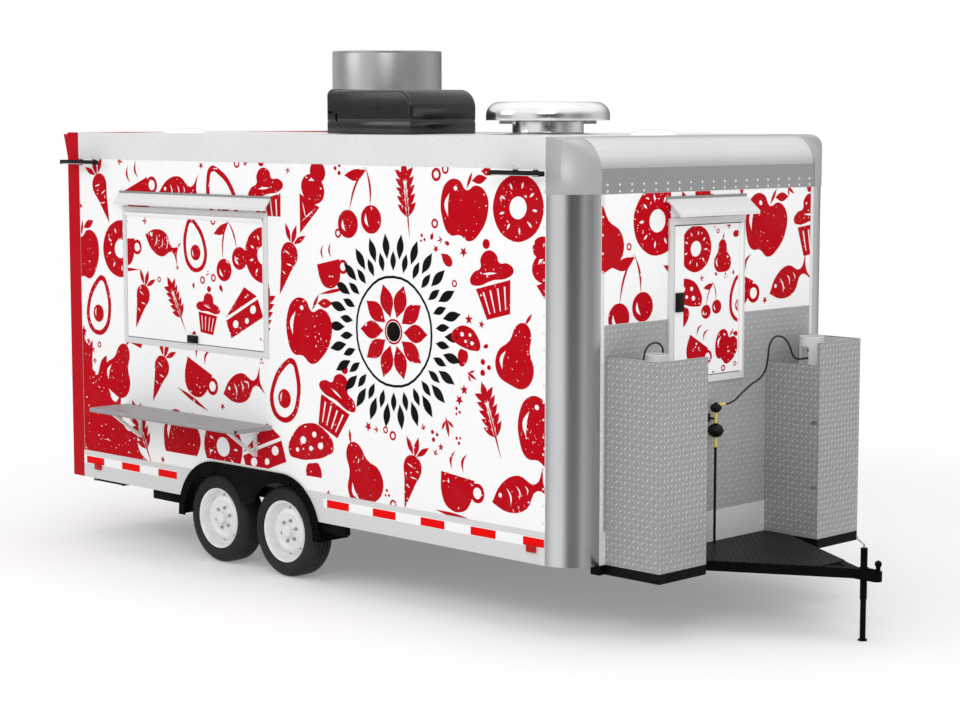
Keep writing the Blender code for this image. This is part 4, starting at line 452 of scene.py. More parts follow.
def plate_colour(w, ground):
    """The lugs of upright chequer plate, and its colour with a painted highlight on every other lug."""
    marks = w.use(CHEQUER, Place=plate_place(w, False), Pitch=PLATE_PITCH, Slimness=5.5)
    metal = w.mix(w.times(marks["Lug"], 0.5), ground, tone(206, 206, 206))
    # Every other lug is mixed towards near white here: a painted highlight.
    return marks["Lug"], w.mix(w.times(marks["PaintedGleam"], 0.8), metal, tone(250, 250, 250))


def stamped(w, sockets, raised):
    """The raised lugs of upright chequer plate: polished tops that stand out."""
    w.feed(sockets["Roughness"], w.fit(raised, 0.0, 1.0, 0.42, 0.26))
    bump(w, sockets, raised, 0.0012, 0.6)


def box_finish():
    """Gas boxes: chequer plate outside, the inside painted much paler as painted light against the shade
    within the boxes, and black below the deck's level.
    """
    made, w, sockets = finish_of("diamond_plate", PLATE_GREY, 0.38)
    x, y, z = w.split(object_place(w))
    lug, metal = plate_colour(w, PLATE_GREY)
    aside = w.math("ABSOLUTE", y)
    behind = w.below(x, BOX_FRONT_X - BOX_SHEET)
    within = w.times(w.above(aside, BOX_INNER_Y + BOX_SHEET), w.below(aside, BOX_OUTER_Y - BOX_SHEET))
    inside = w.times(behind, within)
    # The inside faces take a plain grey far paler than the plate outside: painted light that lifts the
    # shade within the boxes.
    ground = w.mix(inside, metal, tone(214, 214, 214))
    base = w.below(z, BOX_FLOOR + 0.001)
    weathered(w, sockets, w.mix(base, ground, BLACK), 0.05, 1.6, 0.03)
    bright = w.times(w.minus(1.0, inside), w.minus(1.0, base))
    raised = w.times(lug, bright)
    w.feed(sockets["Metallic"], w.times(bright, 0.15))
    w.feed(sockets["Specular IOR Level"], w.fit(base, 0.0, 1.0, 0.4, 0.04))
    stamped(w, sockets, raised)
    return made


def skin_finish():
    """White skin above a pale skirt, with the red lenses of the marker lamps."""
    made, w, sockets = finish_of("white_skin", WRAP_WHITE, 0.32, coat=0.15)
    _, y, z = w.split(object_place(w))
    ground = w.mix(w.above(z, SKIRT_TOP), SKIRT_GREY, WRAP_WHITE)
    lens = w.above(w.math("ABSOLUTE", y), SIDE_Y + 0.006)
    coloured = w.mix(lens, ground, tone(196, 16, 16))
    worn = weathered(w, sockets, coloured, 0.03, 1.2, 0.12, (0.26, 0.4))
    bump(w, sockets, worn["Height"], 0.004, 0.06)
    return made


def front_finish():
    """Front wall: pale skirt, chequer plate up to the hatch's middle, white skin above; the plate is
    painted lighter than the gas boxes' plate, as painted light against the shade in the alcove between the
    boxes.
    """
    made, w, sockets = finish_of("front_skin", WRAP_WHITE, 0.32)
    x, _, z = w.split(object_place(w))
    outside = w.above(x, FRONT_X - 0.004)
    above = w.above(z, SKIRT_TOP)
    below = w.below(z, PLATE_TOP)
    plate = w.times(outside, w.times(above, below))
    # A plate ground of 166, lighter than the gas boxes' 154: painted light against the shade in the alcove
    # between the gas boxes.
    lug, metal = plate_colour(w, tone(166, 166, 166))
    raised = w.times(lug, plate)
    sheet = w.mix(above, SKIRT_GREY, WRAP_WHITE)
    weathered(w, sockets, w.mix(plate, sheet, metal), 0.05, 1.6, 0.1)
    w.feed(sockets["Metallic"], w.times(plate, 0.15))
    stamped(w, sockets, raised)
    return made


def ink_finish(name, colour, wear):
    """Print on the skin, with specks where the white ground shows through."""
    made, w, sockets = finish_of(name, colour, 0.4, specular=0.02)
    ink = w.use(STAMP, Wear=wear)["Ink"]
    worn = w.use(PATINA, Colour=(*colour, 1.0), Amount=0.06, Scale=4.0, Dust=0.0)
    w.feed(sockets["Base Color"], w.mix(ink, WRAP_WHITE, worn["Colour"]))
    w.feed(sockets["Roughness"], w.fit(ink, 0.0, 1.0, 0.3, 0.38))
    return made


def rubber_finish():
    """Tyre rubber: matt and slightly grained, with a little dust low down."""
    made, w, sockets = finish_of("tyre_rubber", TYRE_GREY, 0.72, specular=0.2)
    worn = weathered(w, sockets, TYRE_GREY, 0.08, 6.0, 0.04, (0.62, 0.85))
    bump(w, sockets, worn["Fine"], 0.0008, 0.35)
    return made


def tape_finish():
    """Retroreflective tape: small cells behind a glossy film."""
    made, w, sockets = finish_of("reflective_red", tone(232, 8, 8), 0.3, specular=0.04)
    cells = w.node("ShaderNodeTexVoronoi", feature="DISTANCE_TO_EDGE")
    w.feed(cells.inputs["Vector"], object_place(w))
    cells.inputs["Scale"].default_value = 260.0
    edge = w.fit(cells.outputs[0], 0.0, 0.08)
    w.feed(sockets["Base Color"], w.mix(edge, tone(196, 4, 4), tone(240, 8, 8)))
    bump(w, sockets, edge, 0.0002, 0.5)
    return made


def lens_finish(name, colour):
    """A ribbed lamp lens."""
    made, w, sockets = finish_of(name, colour, 0.16, specular=0.25)
    ribs = w.node("ShaderNodeTexWave", bands_direction="Z")
    w.feed(ribs.inputs["Vector"], object_place(w))
    ribs.inputs["Scale"].default_value = 40.0
    w.feed(sockets["Base Color"], w.mix(ribs.outputs["Fac"], colour, tuple(v * 0.6 for v in colour)))
    bump(w, sockets, ribs.outputs["Fac"], 0.0006, 0.5)
    return made


def shelf_finish():
    """Plain grey sheet above, and pale paint on the folding brackets below it."""
    made, w, sockets = finish_of("shelf_metal", tone(160, 160, 162), 0.45, specular=0.3)
    height = w.split(object_place(w))[2]
    ground = w.mix(w.below(height, SHELF_LOW), tone(152, 152, 154), TRIM_WHITE)
    worn = weathered(w, sockets, ground, 0.05, 3.0, 0.0, (0.4, 0.52))
    bump(w, sockets, worn["Fine"], 0.0003, 0.2)
    return made


FINISHES = {
    "white_skin": skin_finish(),
    "front_skin": front_finish(),
    "plain_white": painted("plain_white", WRAP_WHITE, 0.32, 0.03, 1.2, 0.1, coat=0.15),
    "trim": painted("pale_trim", TRIM_WHITE, 0.36, 0.04),
    "skirt_paint": painted("skirt_paint", SKIRT_GREY, 0.36, 0.04, 2.0, 0.06),
    "frame_trim": painted("hatch_trim", tone(214, 214, 214), 0.34, 0.04),
    "cabin_floor": painted("floor_ply", tone(120, 116, 110), 0.7, 0.3, 2.0, 0.3),
    "black_steel": painted("black_steel", BLACK, 0.5, 0.02, 4.0, 0.01, specular=0.06),
    "black_plastic": painted("black_plastic", tone(8, 8, 8), 0.45, 0.02, 6.0, specular=0.2),
    "gloss_black": painted("gloss_black", tone(10, 10, 11), 0.17, 0.02, 2.0, peel=0.02, specular=0.55),
    "zinc": painted("zinc_plate", tone(178, 180, 184), 0.36, 0.15, 9.0, metallic=1.0),
    "plate": box_finish(),
    "deck_plate": tread_plate("deck_plate", tone(18, 18, 18), 0.5, 0.0, 0.024, True, 0.03),
    "fender_plate": tread_plate("fender_plate", tone(1, 1, 1), 0.5, 0.0, PLATE_PITCH, False, 0.0),
    "post_metal": brushed("post_metal", tone(214, 214, 216), 0.2, (60.0, 60.0, 0.6)),
    "rail_metal": brushed("rail_metal", tone(214, 214, 215), 0.24, (60.0, 0.6, 60.0)),
    "flange_metal": brushed("flange_metal", tone(184, 184, 185), 0.28, (60.0, 0.6, 60.0)),
    "duct_metal": brushed("duct_metal", tone(180, 180, 182), 0.34, (1.0, 1.0, 120.0)),
    "bright_metal": painted("bright_metal", tone(232, 232, 234), 0.14, 0.03, 3.0, metallic=1.0),
    "shelf_metal": shelf_finish(),
    "red_paint": painted("red_paint", PRINT_RED, 0.34, 0.02, 2.0, 0.02, specular=0.05),
    "tyre": rubber_finish(),
    "wheel_paint": painted("wheel_paint", tone(236, 236, 236), 0.28, 0.08, 8.0, 0.12, coat=0.3),
    "bottle_paint": painted("bottle_paint", tone(226, 226, 228), 0.34, 0.06, 4.0),
    "brass": painted("brass", tone(232, 214, 120), 0.34, 0.06, 14.0, metallic=0.4),
    "cap_metal": painted("cast_cap", tone(172, 172, 172), 0.42, 0.03, 3.0, metallic=0.3),
    "sealant": painted("sealant", tone(138, 138, 138), 0.5, 0.06, 12.0),
    "hose": painted("hose_rubber", tone(22, 22, 22), 0.55, 0.08, 20.0),
    "red_ink": ink_finish("red_print", PRINT_RED, 0.29),
    "black_ink": ink_finish("black_print", tone(20, 18, 18), 0.2),
    "tape": tape_finish(),
    "red_lens": lens_finish("red_lens", tone(196, 16, 16)),
    "clear_lens": lens_finish("clear_lens", tone(222, 226, 230)),
}


# Modelling by hand: each starts from a primitive and is shaped in edit mode

def mode(name):
    bpy.ops.object.mode_set(mode=name)


def settle():
    """Puts a piece's place, turn and size into its mesh."""
    bpy.ops.object.transform_apply(location=True, rotation=True, scale=True)


def select_whole():
    bpy.ops.mesh.select_all(action="SELECT")


def draw_out(step):
    bpy.ops.mesh.extrude_region_move(TRANSFORM_OT_translate={"value": step})


def deselect():
    if bpy.context.object and bpy.context.object.mode != "OBJECT":
        mode("OBJECT")
    bpy.ops.object.select_all(action="DESELECT")


def pick(*objects):
    deselect()
    for obj in objects:
        obj.select_set(True)
    bpy.context.view_layer.objects.active = objects[0]
    return objects[0]


def edit_all():
    mode("EDIT")
    select_whole()


def seal(merge=0.00002):
    """Doubles merged and all faces turned outwards, back in object mode."""
    select_whole()
    bpy.ops.mesh.remove_doubles(threshold=merge)
    bpy.ops.mesh.normals_make_consistent(inside=False)
    mode("OBJECT")
    return bpy.context.object


def drawn(points):
    """A small plane merged to one point, then extruded from point to point."""
    deselect()
    bpy.ops.mesh.primitive_plane_add(size=0.01, location=points[0])
    bpy.ops.object.transform_apply(location=True)
    edit_all()
    bpy.ops.mesh.merge(type="CENTER")
    for here, there in zip(points, points[1:]):
        step = Vector(there) - Vector(here)
        draw_out(step)
    select_whole()
    return bpy.context.object


def turned(points, centre, steps=48, axis="Z", sweep=TAU, start=0.0):
    """A profile of radius and height, spun about an axis through the centre."""
    turn = {"X": Matrix.Rotation(math.pi / 2, 4, "Y"), "Y": Matrix.Rotation(-math.pi / 2, 4, "X")}
    place = Matrix.Translation(centre) @ turn.get(axis, Matrix.Identity(4))
    first = Matrix.Rotation(start, 4, "Z")
    if sweep == TAU and points[0][0] + points[-1][0] > 0.0:
        points = [*points, points[0]]
    drawn([place @ first @ Vector((radius, 0.0, height)) for radius, height in points])
    if sweep < TAU:
        bpy.ops.mesh.edge_face_add()
    along = place.to_3x3() @ Vector((0.0, 0.0, 1.0))
    bpy.ops.mesh.spin(steps=steps, angle=-sweep, center=centre, axis=along)
    return seal()


def extruded(points, step):
    """A closed outline, filled and extruded by one step."""
    drawn(points)
    bpy.ops.mesh.edge_face_add()
    draw_out(step)
    return seal()


def slab(low, high, edge=0.002, segments=2):
    """A cube at its place and size, its edges rounded."""
    deselect()
    middle = [(a + b) / 2 for a, b in zip(low, high)]
    bpy.ops.mesh.primitive_cube_add(size=1.0, location=middle)
    bpy.ops.transform.resize(value=[abs(b - a) for a, b in zip(low, high)])
    settle()
    edit_all()
    if edge:
        bpy.ops.mesh.bevel(offset=edge, segments=segments, affect="EDGES")
    return seal()


def window(low, high, width, axis, edge=0.0015):
    """A flat frame: a sheet inset, its middle taken out, then drawn to its depth."""
    deselect()
    index = "XYZ".index(axis)
    middle = [(a + b) / 2 for a, b in zip(low, high)]
    middle[index] = low[index]
    turn = {"X": (0.0, math.pi / 2, 0.0), "Y": (math.pi / 2, 0.0, 0.0), "Z": (0.0, 0.0, 0.0)}[axis]
    size = [b - a for a, b in zip(low, high)]
    depth = [0.0, 0.0, 0.0]
    depth[index] = size[index]
    size[index] = 1.0
    bpy.ops.mesh.primitive_plane_add(size=1.0, location=middle, rotation=turn)
    bpy.ops.transform.resize(value=size)
    settle()
    edit_all()
    bpy.ops.mesh.inset(thickness=width)
    bpy.ops.mesh.delete(type="FACE")
    select_whole()
    draw_out(depth)
    select_whole()
    bpy.ops.mesh.bevel(offset=edge, segments=2, affect="EDGES")
    return seal()


def cut(obj, *cutters):
    """Takes the cutters' shapes out of a piece, by applied Booleans."""
    cutter = joined(list(cutters))
    pick(obj)
    taken = obj.modifiers.new("cut", "BOOLEAN")
    taken.operation = "DIFFERENCE"
    taken.object = cutter
    taken.use_self = len(cutters) > 1
    bpy.ops.object.modifier_apply(modifier=taken.name)
    bpy.data.objects.remove(cutter, do_unlink=True)
    return obj


def rod(start, end, radius, sides=12):
    """A round bar between two points, its ends chamfered."""
    deselect()
    start, end = Vector(start), Vector(end)
    along = end - start
    turn = along.to_track_quat("Z", "Y").to_euler()
    middle = (start + end) / 2
    bpy.ops.mesh.primitive_cylinder_add(
        vertices=sides, radius=radius, depth=along.length, location=middle, rotation=turn,
    )
    settle()
    edit_all()
    bpy.ops.mesh.select_mode(type="FACE")
    mode("OBJECT")
    for face in bpy.context.object.data.polygons:
        face.select = abs(face.normal.dot(along.normalized())) > 0.9
    mode("EDIT")
    bpy.ops.mesh.bevel(offset=radius * 0.2, segments=1, affect="EDGES")
    bpy.ops.mesh.select_mode(type="VERT")
    return seal()


def copies(obj, count, step):
    """A row of copies, by an applied Array."""
    pick(obj)
    row = obj.modifiers.new("row", "ARRAY")
    row.count = count
    row.use_relative_offset = False
    row.use_constant_offset = True
    row.constant_offset_displace = step
    bpy.ops.object.modifier_apply(modifier=row.name)
    return obj


def duplicate(obj):
    """A copy with its own mesh."""
    pick(obj)
    bpy.ops.object.duplicate()
    return bpy.context.object


def moved(obj, matrix):
    """The piece itself, moved by a matrix in its mesh."""
    pick(obj)
    obj.matrix_world = matrix @ obj.matrix_world
    settle()
    return obj


def joined(objects):
    if len(objects) > 1:
        pick(*objects)
        bpy.ops.object.join()
    return objects[0]


def completed(shape, name, finish, angle=35.0, stands_for=(), body=ROOT):
    """Joins, names, shades and dresses a piece, and hangs it on its body."""
    obj = pick(joined(shape) if isinstance(shape, list) else shape)
    settle()
    obj.name = name
    obj.data.name = name
    obj.data.materials.clear()
    obj.data.materials.append(FINISHES[finish])
    bpy.ops.object.shade_smooth_by_angle(angle=math.radians(angle))
    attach(obj, body)
    if stands_for:
        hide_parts(*stands_for)


def pin(radius, low, high):
    """The profile of a plain round bar between two heights."""
    return [(0.0, low), (radius, low), (radius, high), (0.0, high)]


def arc(centre, radii, start, end, steps):
    """Points round a centre from one angle to another; one radius, or one along and one across."""
    along, across = radii if isinstance(radii, tuple) else (radii, radii)
    turns = [start + (end - start) * step / steps for step in range(steps + 1)]
    return [(centre[0] + along * math.cos(t), centre[1] + across * math.sin(t)) for t in turns]


# Camera, floor and light

def camera():
    data = bpy.data.cameras.new("camera")
    data.lens = CAMERA_LENS
    data.sensor_width = SENSOR_WIDTH
    obj = bpy.data.objects.new("camera", data)
    obj.location = CAMERA_PLACE
    obj.rotation_euler = CAMERA_TURN
    bpy.context.scene.collection.objects.link(obj)
    bpy.context.scene.camera = obj


def read_route(points, spacing):
    """Points read from a smooth curve through the route's own points."""
    guide = [Vector(point) for point in points]
    ends = [guide[0] * 2 - guide[1]] + guide + [guide[-1] * 2 - guide[-2]]
    read = [guide[0]]
    for number in range(len(guide) - 1):
        before, here, there, after = ends[number:number + 4]
        pieces = max(1, round((there - here).length / spacing))
        for step in range(1, pieces + 1):
            t = step / pieces
            even = 2 * here + (there - before) * t
            square = (2 * before - 5 * here + 4 * there - after) * t * t
            cube = (3 * here - before - 3 * there + after) * t * t * t
            read.append((even + square + cube) / 2)
    return read


def gas_hose(name, node, route):
    """One rubber hose on its smooth route, as a round curve with filled ends."""
    read = read_route(route, 0.012)
    curve = bpy.data.curves.new(name, "CURVE")
    curve.dimensions = "3D"
    curve.bevel_depth = HOSE_DIAMETER / 2
    curve.bevel_resolution = 4
    curve.use_fill_caps = True
    line = curve.splines.new("POLY")
    line.points.add(len(read) - 1)
    for point, place in zip(line.points, read):
        point.co = (*place, 1.0)
    obj = bpy.data.objects.new(name, curve)
    bpy.context.scene.collection.objects.link(obj)
    curve.materials.append(FINISHES["hose"])
    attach(obj, ROOT)
    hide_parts(node)


def floor():
    """A pale floor that keeps the shadow and fades to plain white far from the trailer."""
    deselect()
    bpy.ops.mesh.primitive_circle_add(
        vertices=96, radius=60.0, fill_type="NGON", location=(-3.0, 0.0, -0.001),
    )
    obj = bpy.context.object
    obj.name = "studio_floor"
    made, w, _ = finish_of("studio_floor", tone(254, 254, 254), 0.9, specular=0.1)
    x, y, _ = w.split(object_place(w))
    far = w.math("SQRT", w.plus(w.times(x, x), w.times(y, y)))
    tree = made.node_tree
    shine = w.node("ShaderNodeEmission")
    blend = w.node("ShaderNodeMixShader")
    paths = w.node("ShaderNodeLightPath").outputs
    from_post = w.vector(w.minus(x, POST_FROM_FLOOR[0]), w.minus(y, POST_FROM_FLOOR[1]), 0.0)
    level = w.use(SURROUNDINGS, Place=from_post, Rise=0.0)["Level"]
    mirrored = w.times(paths["Is Glossy Ray"], 0.85)
    faded = w.times(paths["Is Camera Ray"], w.fit(far, 3.4, 7.5, FLOOR_FADE, 1.0))
    w.feed(blend.inputs[0], w.plus(mirrored, faded))
    strength = w.plus(w.times(paths["Is Glossy Ray"], level), paths["Is Camera Ray"])
    w.feed(shine.inputs["Strength"], strength)
    tree.links.new(tree.nodes["Principled BSDF"].outputs[0], blend.inputs[1])
    tree.links.new(shine.outputs[0], blend.inputs[2])
    tree.links.new(blend.outputs[0], tree.nodes["Material Output"].inputs["Surface"])
    obj.data.materials.append(made)


def lamp(name, place, target, size, watts, mirrored=True):
    data = bpy.data.lights.new(name, "AREA")
    data.shape = "RECTANGLE"
    data.size, data.size_y = size
    data.energy = watts
    obj = bpy.data.objects.new(name, data)
    obj.location = place
    obj.rotation_euler = (Vector(target) - Vector(place)).to_track_quat("-Z", "Y").to_euler()
    obj.visible_glossy = mirrored
    bpy.context.scene.collection.objects.link(obj)


def world():
    """Soft white light all round, and a plain white background for what looks past the trailer."""
    made = bpy.data.worlds.new("studio")
    made.use_nodes = True
    bpy.context.scene.world = made
    w = Wiring(made.node_tree)
    tree = made.node_tree
    ground = tree.nodes["Background"]
    paths = w.node("ShaderNodeLightPath")
    seen = w.math("MAXIMUM", paths.outputs["Is Camera Ray"], paths.outputs["Is Transmission Ray"])
    looking = w.node("ShaderNodeTexCoord").outputs["Generated"]
    level = w.use(SURROUNDINGS, Place=looking, Rise=w.split(looking)[2])["Level"]
    plain = w.plus(w.times(paths.outputs["Is Glossy Ray"], w.minus(level, SKY)), SKY)
    ground.inputs["Color"].default_value = (1.0, 1.0, 1.0, 1.0)
    lit = w.plus(w.times(seen, w.minus(1.0, plain)), plain)
    w.feed(ground.inputs["Strength"], lit)


def studio():
    world()
    floor()
    lamp("key", (5.0, -9.0, 8.0), (-3.2, -1.0, 1.2), (6.0, 4.0), 330.0)
    lamp("fill", (-9.0, -8.0, 6.0), (-4.0, -1.0, 1.4), (5.0, 4.0), 130.0)
    lamp("front", (7.0, -1.5, 2.2), (-1.1, 0.2, 1.0), (4.0, 3.0), 70.0, False)
    lamp("overhead", (-3.5, 0.0, 9.0), (-3.5, 0.0, 0.0), (9.0, 5.0), 170.0)
    settings = bpy.context.scene.view_settings
    settings.view_transform = "Standard"


CARRIED = (
    ("white_skin", "left_wall right_wall"),
    ("plain_white", "roof rear_wall rear_door serving_hatch_door front_hatch_door"),
    ("front_skin", "front_wall"),
    ("trim", "side_top_rail_left side_top_rail_right serving_drip_cap front_drip_cap"),
    ("frame_trim", "serving_hatch_frame front_hatch_frame"),
    ("cabin_floor", "floor_pan"),
    ("black_steel", "chassis_rail_left chassis_rail_right drawbar_rail_left drawbar_rail_right coupler"),
    ("black_steel", "jack_tube jack_leg axle_front axle_rear springs_left springs_right"),
    ("black_steel", "stabiliser_left stabiliser_right"),
    ("deck_plate", "drawbar_deck"),
    ("plate", "gas_box_left gas_box_right"),
    ("bottle_paint", "gas_bottle_left gas_bottle_right"),
    ("black_plastic", "gas_regulator flood_light_front flood_light_rear"),
    ("shelf_metal", "serving_shelf"),
    ("red_paint", "rear_hoop"),
    ("fender_plate", "fender_left fender_right"),
    ("post_metal", "front_corner_post_left front_corner_post_right"),
    ("rail_metal", "front_corner_cap_left front_corner_cap_right front_top_rail"),
    ("duct_metal", "exhaust_cylinder exhaust_fan"),
    ("bright_metal", "roof_ventilator"),
    ("gloss_black", "roof_air_conditioner"),
    ("tyre", "tyre_rear_left tyre_front_left tyre_rear_right tyre_front_right"),
    ("wheel_paint", "rim_rear_left rim_front_left rim_rear_right rim_front_right"),
)


def carried_nodes():
    """Puts its finish in the slots of each CAD node that is named above."""
    for finish, names in CARRIED:
        for name in names.split():
            for held in NODES[name].material_slots:
                held.material = FINISHES[finish]


# Body

def front_corners():
    """Smooth quarter-round posts, and cast caps that round over into the roof."""
    low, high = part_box("front_corner_post_right")
    shoulder = ROOF_TOP - EDGE_RADIUS
    for side, word in ((1, "left"), (-1, "right")):
        centre = (POST_X, side * POST_Y, 0.0)
        start = 0.0 if side > 0 else -math.pi / 2
        post = [
            (POST_INSIDE, low[2]), (POST_RADIUS, low[2]), (POST_RADIUS, high[2]), (POST_INSIDE, high[2]),
        ]
        made = turned(post, centre, 32, "Z", math.pi / 2, start)
        node = f"front_corner_post_{word}"
        completed(made, f"corner_post_{word}", "post_metal", 35, [node])
        proud = POST_RADIUS + 0.005
        plan = arc((POST_X, 0.0), proud, 0, math.pi / 2, 32)
        outline = [(POST_X, side * POST_Y, high[2] + GAP)]
        outline += [(x, side * (POST_Y + y), high[2] + GAP) for x, y in plan]
        made = extruded(outline, (0.0, 0.0, ROOF_TOP - high[2] - GAP))
        away = [(POST_X - 0.01, ROOF_TOP + 0.05), (POST_X + 0.3, ROOF_TOP + 0.05), (POST_X + 0.3, shoulder)]
        away += arc(
            (POST_X, shoulder), (proud + 0.0003, 0.2), 0, math.pi / 2, 32,
        ) + [(POST_X - 0.01, shoulder + 0.2)]
        ends = (side * (POST_Y - 0.02), side * 0.3)
        cut(made, extruded([(x, ends[0], z) for x, z in away], (0.0, ends[1], 0.0)))
        node = f"front_corner_cap_{word}"
        completed(made, f"corner_cap_{word}", "cap_metal", 80, [node])


def front_top_rail():
    """The rounded edge between the front wall and the roof."""
    radius = EDGE_RADIUS
    centre = (FRONT_X - radius, ROOF_TOP - radius)
    outline = arc(centre, radius, 0, math.pi / 2, 24)
    outline += [(POST_X, ROOF_TOP), (POST_X, ROOF_TOP - 0.06)]
    outline += arc(centre, radius - 0.06, math.pi / 2, 0, 16)
    half = POST_Y - GAP
    made = extruded([(x, -half, z) for x, z in outline], (0.0, 2 * half, 0.0))
    completed(made, "front_top_edge", "rail_metal", 35, ["front_top_rail"])
    flange = slab((FRONT_X + GAP, -half, FLANGE_LOW), (FRONT_X + 0.0025, half, RAIL_LOW + 0.004), 0.001, 1)
    completed(flange, "front_top_flange", "flange_metal")


# Roof fittings

def exhaust_band():
    """An open wind band with a rolled rim on a square curb, and the motor on its struts."""
    (x_low, y_low, foot), (x_high, y_high, top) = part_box("exhaust_cylinder")
    centre = ((x_low + x_high) / 2, (y_low + y_high) / 2, 0.0)
    radius = (x_high - x_low) / 2
    curb = [
        (centre[0] - CURB_HALF, centre[1] - CURB_HALF, foot),
        (centre[0] + CURB_HALF, centre[1] + CURB_HALF, foot + CURB_RISE),
    ]
    base = window(*curb, CURB_HALF - DUCT_RADIUS - 0.012, "Z", 0.003)
    bead = 0.007
    skin = 0.004
    low = foot + CURB_RISE
    shell = [(DUCT_RADIUS, foot + 0.009), (DUCT_RADIUS + 0.008, foot + 0.009), (DUCT_RADIUS + 0.008, low)]
    shell += arc((radius - 0.012, low + 0.012), 0.012, -math.pi / 2, 0, 6)
    shell += [(radius, top - 4 * bead), (radius - 0.001, top - 3 * bead)]
    shell += arc((radius - bead, top - bead), bead, -0.6, math.pi * 1.1, 12)
    shell += [
        (radius - skin - 0.001, top - 3 * bead), (radius - skin, low + 0.03), (radius - 0.02, low + 0.008),
    ]
    shell += [(DUCT_RADIUS + 0.012, low + 0.006), (DUCT_RADIUS, low + 0.002)]
    band = turned(shell, centre, 128)
    seam = slab(
        (centre[0] - 0.012, centre[1] - radius - 0.0015, low + 0.02),
        (centre[0] + 0.012, centre[1] - radius + 0.004, top - 0.03), 0.001,
    )
    pick(seam)
    edit_all()
    bpy.ops.transform.rotate(value=SEAM_TURN, orient_axis="Z", center_override=centre)
    mode("OBJECT")
    completed([band, base, seam], "wind_band", "duct_metal", 30, ["exhaust_cylinder"])
    motor_low = foot + 0.09
    motor = [(0.0, motor_low), (0.06, motor_low), (0.072, motor_low + 0.012)]
    for number in range(9):
        z = motor_low + 0.018 + number * 0.0115
        motor += [(0.07, z), (0.075, z + 0.002), (0.075, z + 0.005), (0.07, z + 0.007)]
    motor += [(0.072, motor_low + 0.128), (0.055, motor_low + 0.1398), (0.0, motor_low + 0.1398)]
    pieces = [turned(motor, centre, 40)]
    middle = motor_low + 0.07
    reach = radius - 0.004
    hub = Vector((*centre[:2], middle))
    for end in (Vector((reach, 0.0, 0.0)), Vector((0.0, reach, 0.0))):
        pieces.append(rod(hub - end, hub + end, 0.011, 16))
    completed(pieces, "exhaust_motor", "black_plastic", 30)


def ventilator():
    """A bright neck under an overhanging cap with a soft round edge, held by four ribs."""
    (x_low, y_low, foot), (x_high, y_high, top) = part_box("roof_ventilator")
    centre = ((x_low + x_high) / 2, (y_low + y_high) / 2, 0.0)
    outer = (x_high - x_low) / 2
    neck = 0.228
    skin = 0.004
    neck_top = foot + 0.13
    profile = [
        (neck - skin, foot), (neck + 0.05, foot), (neck + 0.05, foot + 0.003),
        (neck + 0.012, foot + 0.006),
    ]
    profile += arc((neck + 0.01, foot + 0.016), 0.01, -math.pi / 2, -math.pi, 5)
    profile += [(neck, neck_top - 0.004)] + arc((neck - skin / 2, neck_top - 0.002), 0.002, 0, math.pi, 4)
    pieces = [turned(profile, centre, 96)]
    bend = 0.085
    low = top - 0.117
    cap = [(outer - 0.012, low + 0.001), (outer - 0.006, low)]
    cap += arc((outer - 0.003, low + 0.003), 0.003, -math.pi / 2, 0, 4)
    cap += arc((outer - bend, top - bend), bend, 0, math.pi / 2, 20)
    cap += [(0.12, top), (0.0, top), (0.0, top - skin)]
    cap += arc((outer - bend, top - bend), bend - skin, math.pi / 2, 0, 14) + [(outer - skin, low + 0.006)]
    pieces.append(turned(cap, centre, 96))
    for number in range(4):
        rib = slab((neck - 0.003, -0.004, foot + 0.065), (outer - bend, 0.004, top - 0.003), 0.001, 1)
        turn = Matrix.Translation(centre) @ Matrix.Rotation(math.pi / 4 + number * math.pi / 2, 4, "Z")
        pieces.append(moved(rib, turn))
    completed(pieces, "ventilator", "bright_metal", 35, ["roof_ventilator"])


def air_conditioner():
    """A moulded shroud with rounded edges, grooves, a slot for its hook and a recessed base."""
    (x_low, y_low, foot), (x_high, y_high, top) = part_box("roof_air_conditioner")
    split = foot + 0.07
    outline = [(x_low, split), (x_high, split)]
    outline += arc((x_high - 0.12, top - 0.12), 0.12, 0, math.pi / 2, 14)
    outline += arc((x_low + 0.04, top - 0.04), 0.04, math.pi / 2, math.pi, 8)
    shroud = extruded([(x, y_low, z) for x, z in outline], (0.0, y_high - y_low, 0.0))
    pick(shroud)
    mesh = shroud.data
    for group in (mesh.polygons, mesh.edges, mesh.vertices):
        group.foreach_set("select", [False] * len(group))
    for edge in mesh.edges:
        ends = [mesh.vertices[index].co for index in edge.vertices]
        on_side = abs(ends[0].y - ends[1].y) < GAP
        edge.select = on_side and max(end.z for end in ends) > split + GAP
    mode("EDIT")
    bpy.ops.mesh.select_mode(type="EDGE")
    bpy.ops.mesh.bevel(offset=0.026, segments=6, affect="EDGES")
    bpy.ops.mesh.select_mode(type="VERT")
    seal()
    grooves = []
    for number in range(3):
        y = y_low + 0.15 + number * 0.15
        first = (x_low + 0.12, y - 0.004, top - 0.006)
        grooves.append((first, (x_high - 0.2, y + 0.004, top + 0.02)))
    near = y_low - 0.02
    grooves += [
        ((x_low + 0.32, near, split + 0.03), (x_high + 0.02, y_low + 0.006, split + 0.037)),
        ((x_high - 0.006, near, split + 0.03), (x_high + 0.02, y_high - 0.03, split + 0.037)),
        ((x_low + 0.03, near, split + 0.062), (x_low + 0.11, y_low + 0.014, split + 0.076)),
        ((x_low + 0.096, near, split - 0.02), (x_low + 0.114, y_low + 0.014, split + 0.071)),
    ]
    cut(shroud, *[slab(*ends, 0.0) for ends in grooves])
    inset = 0.006
    base = slab((x_low + inset, y_low + inset, foot), (x_high - inset, y_high - inset, split + 0.01), 0.006)
    completed([shroud, base], "cooler_shroud", "gloss_black", 28, ["roof_air_conditioner"])


# Running gear

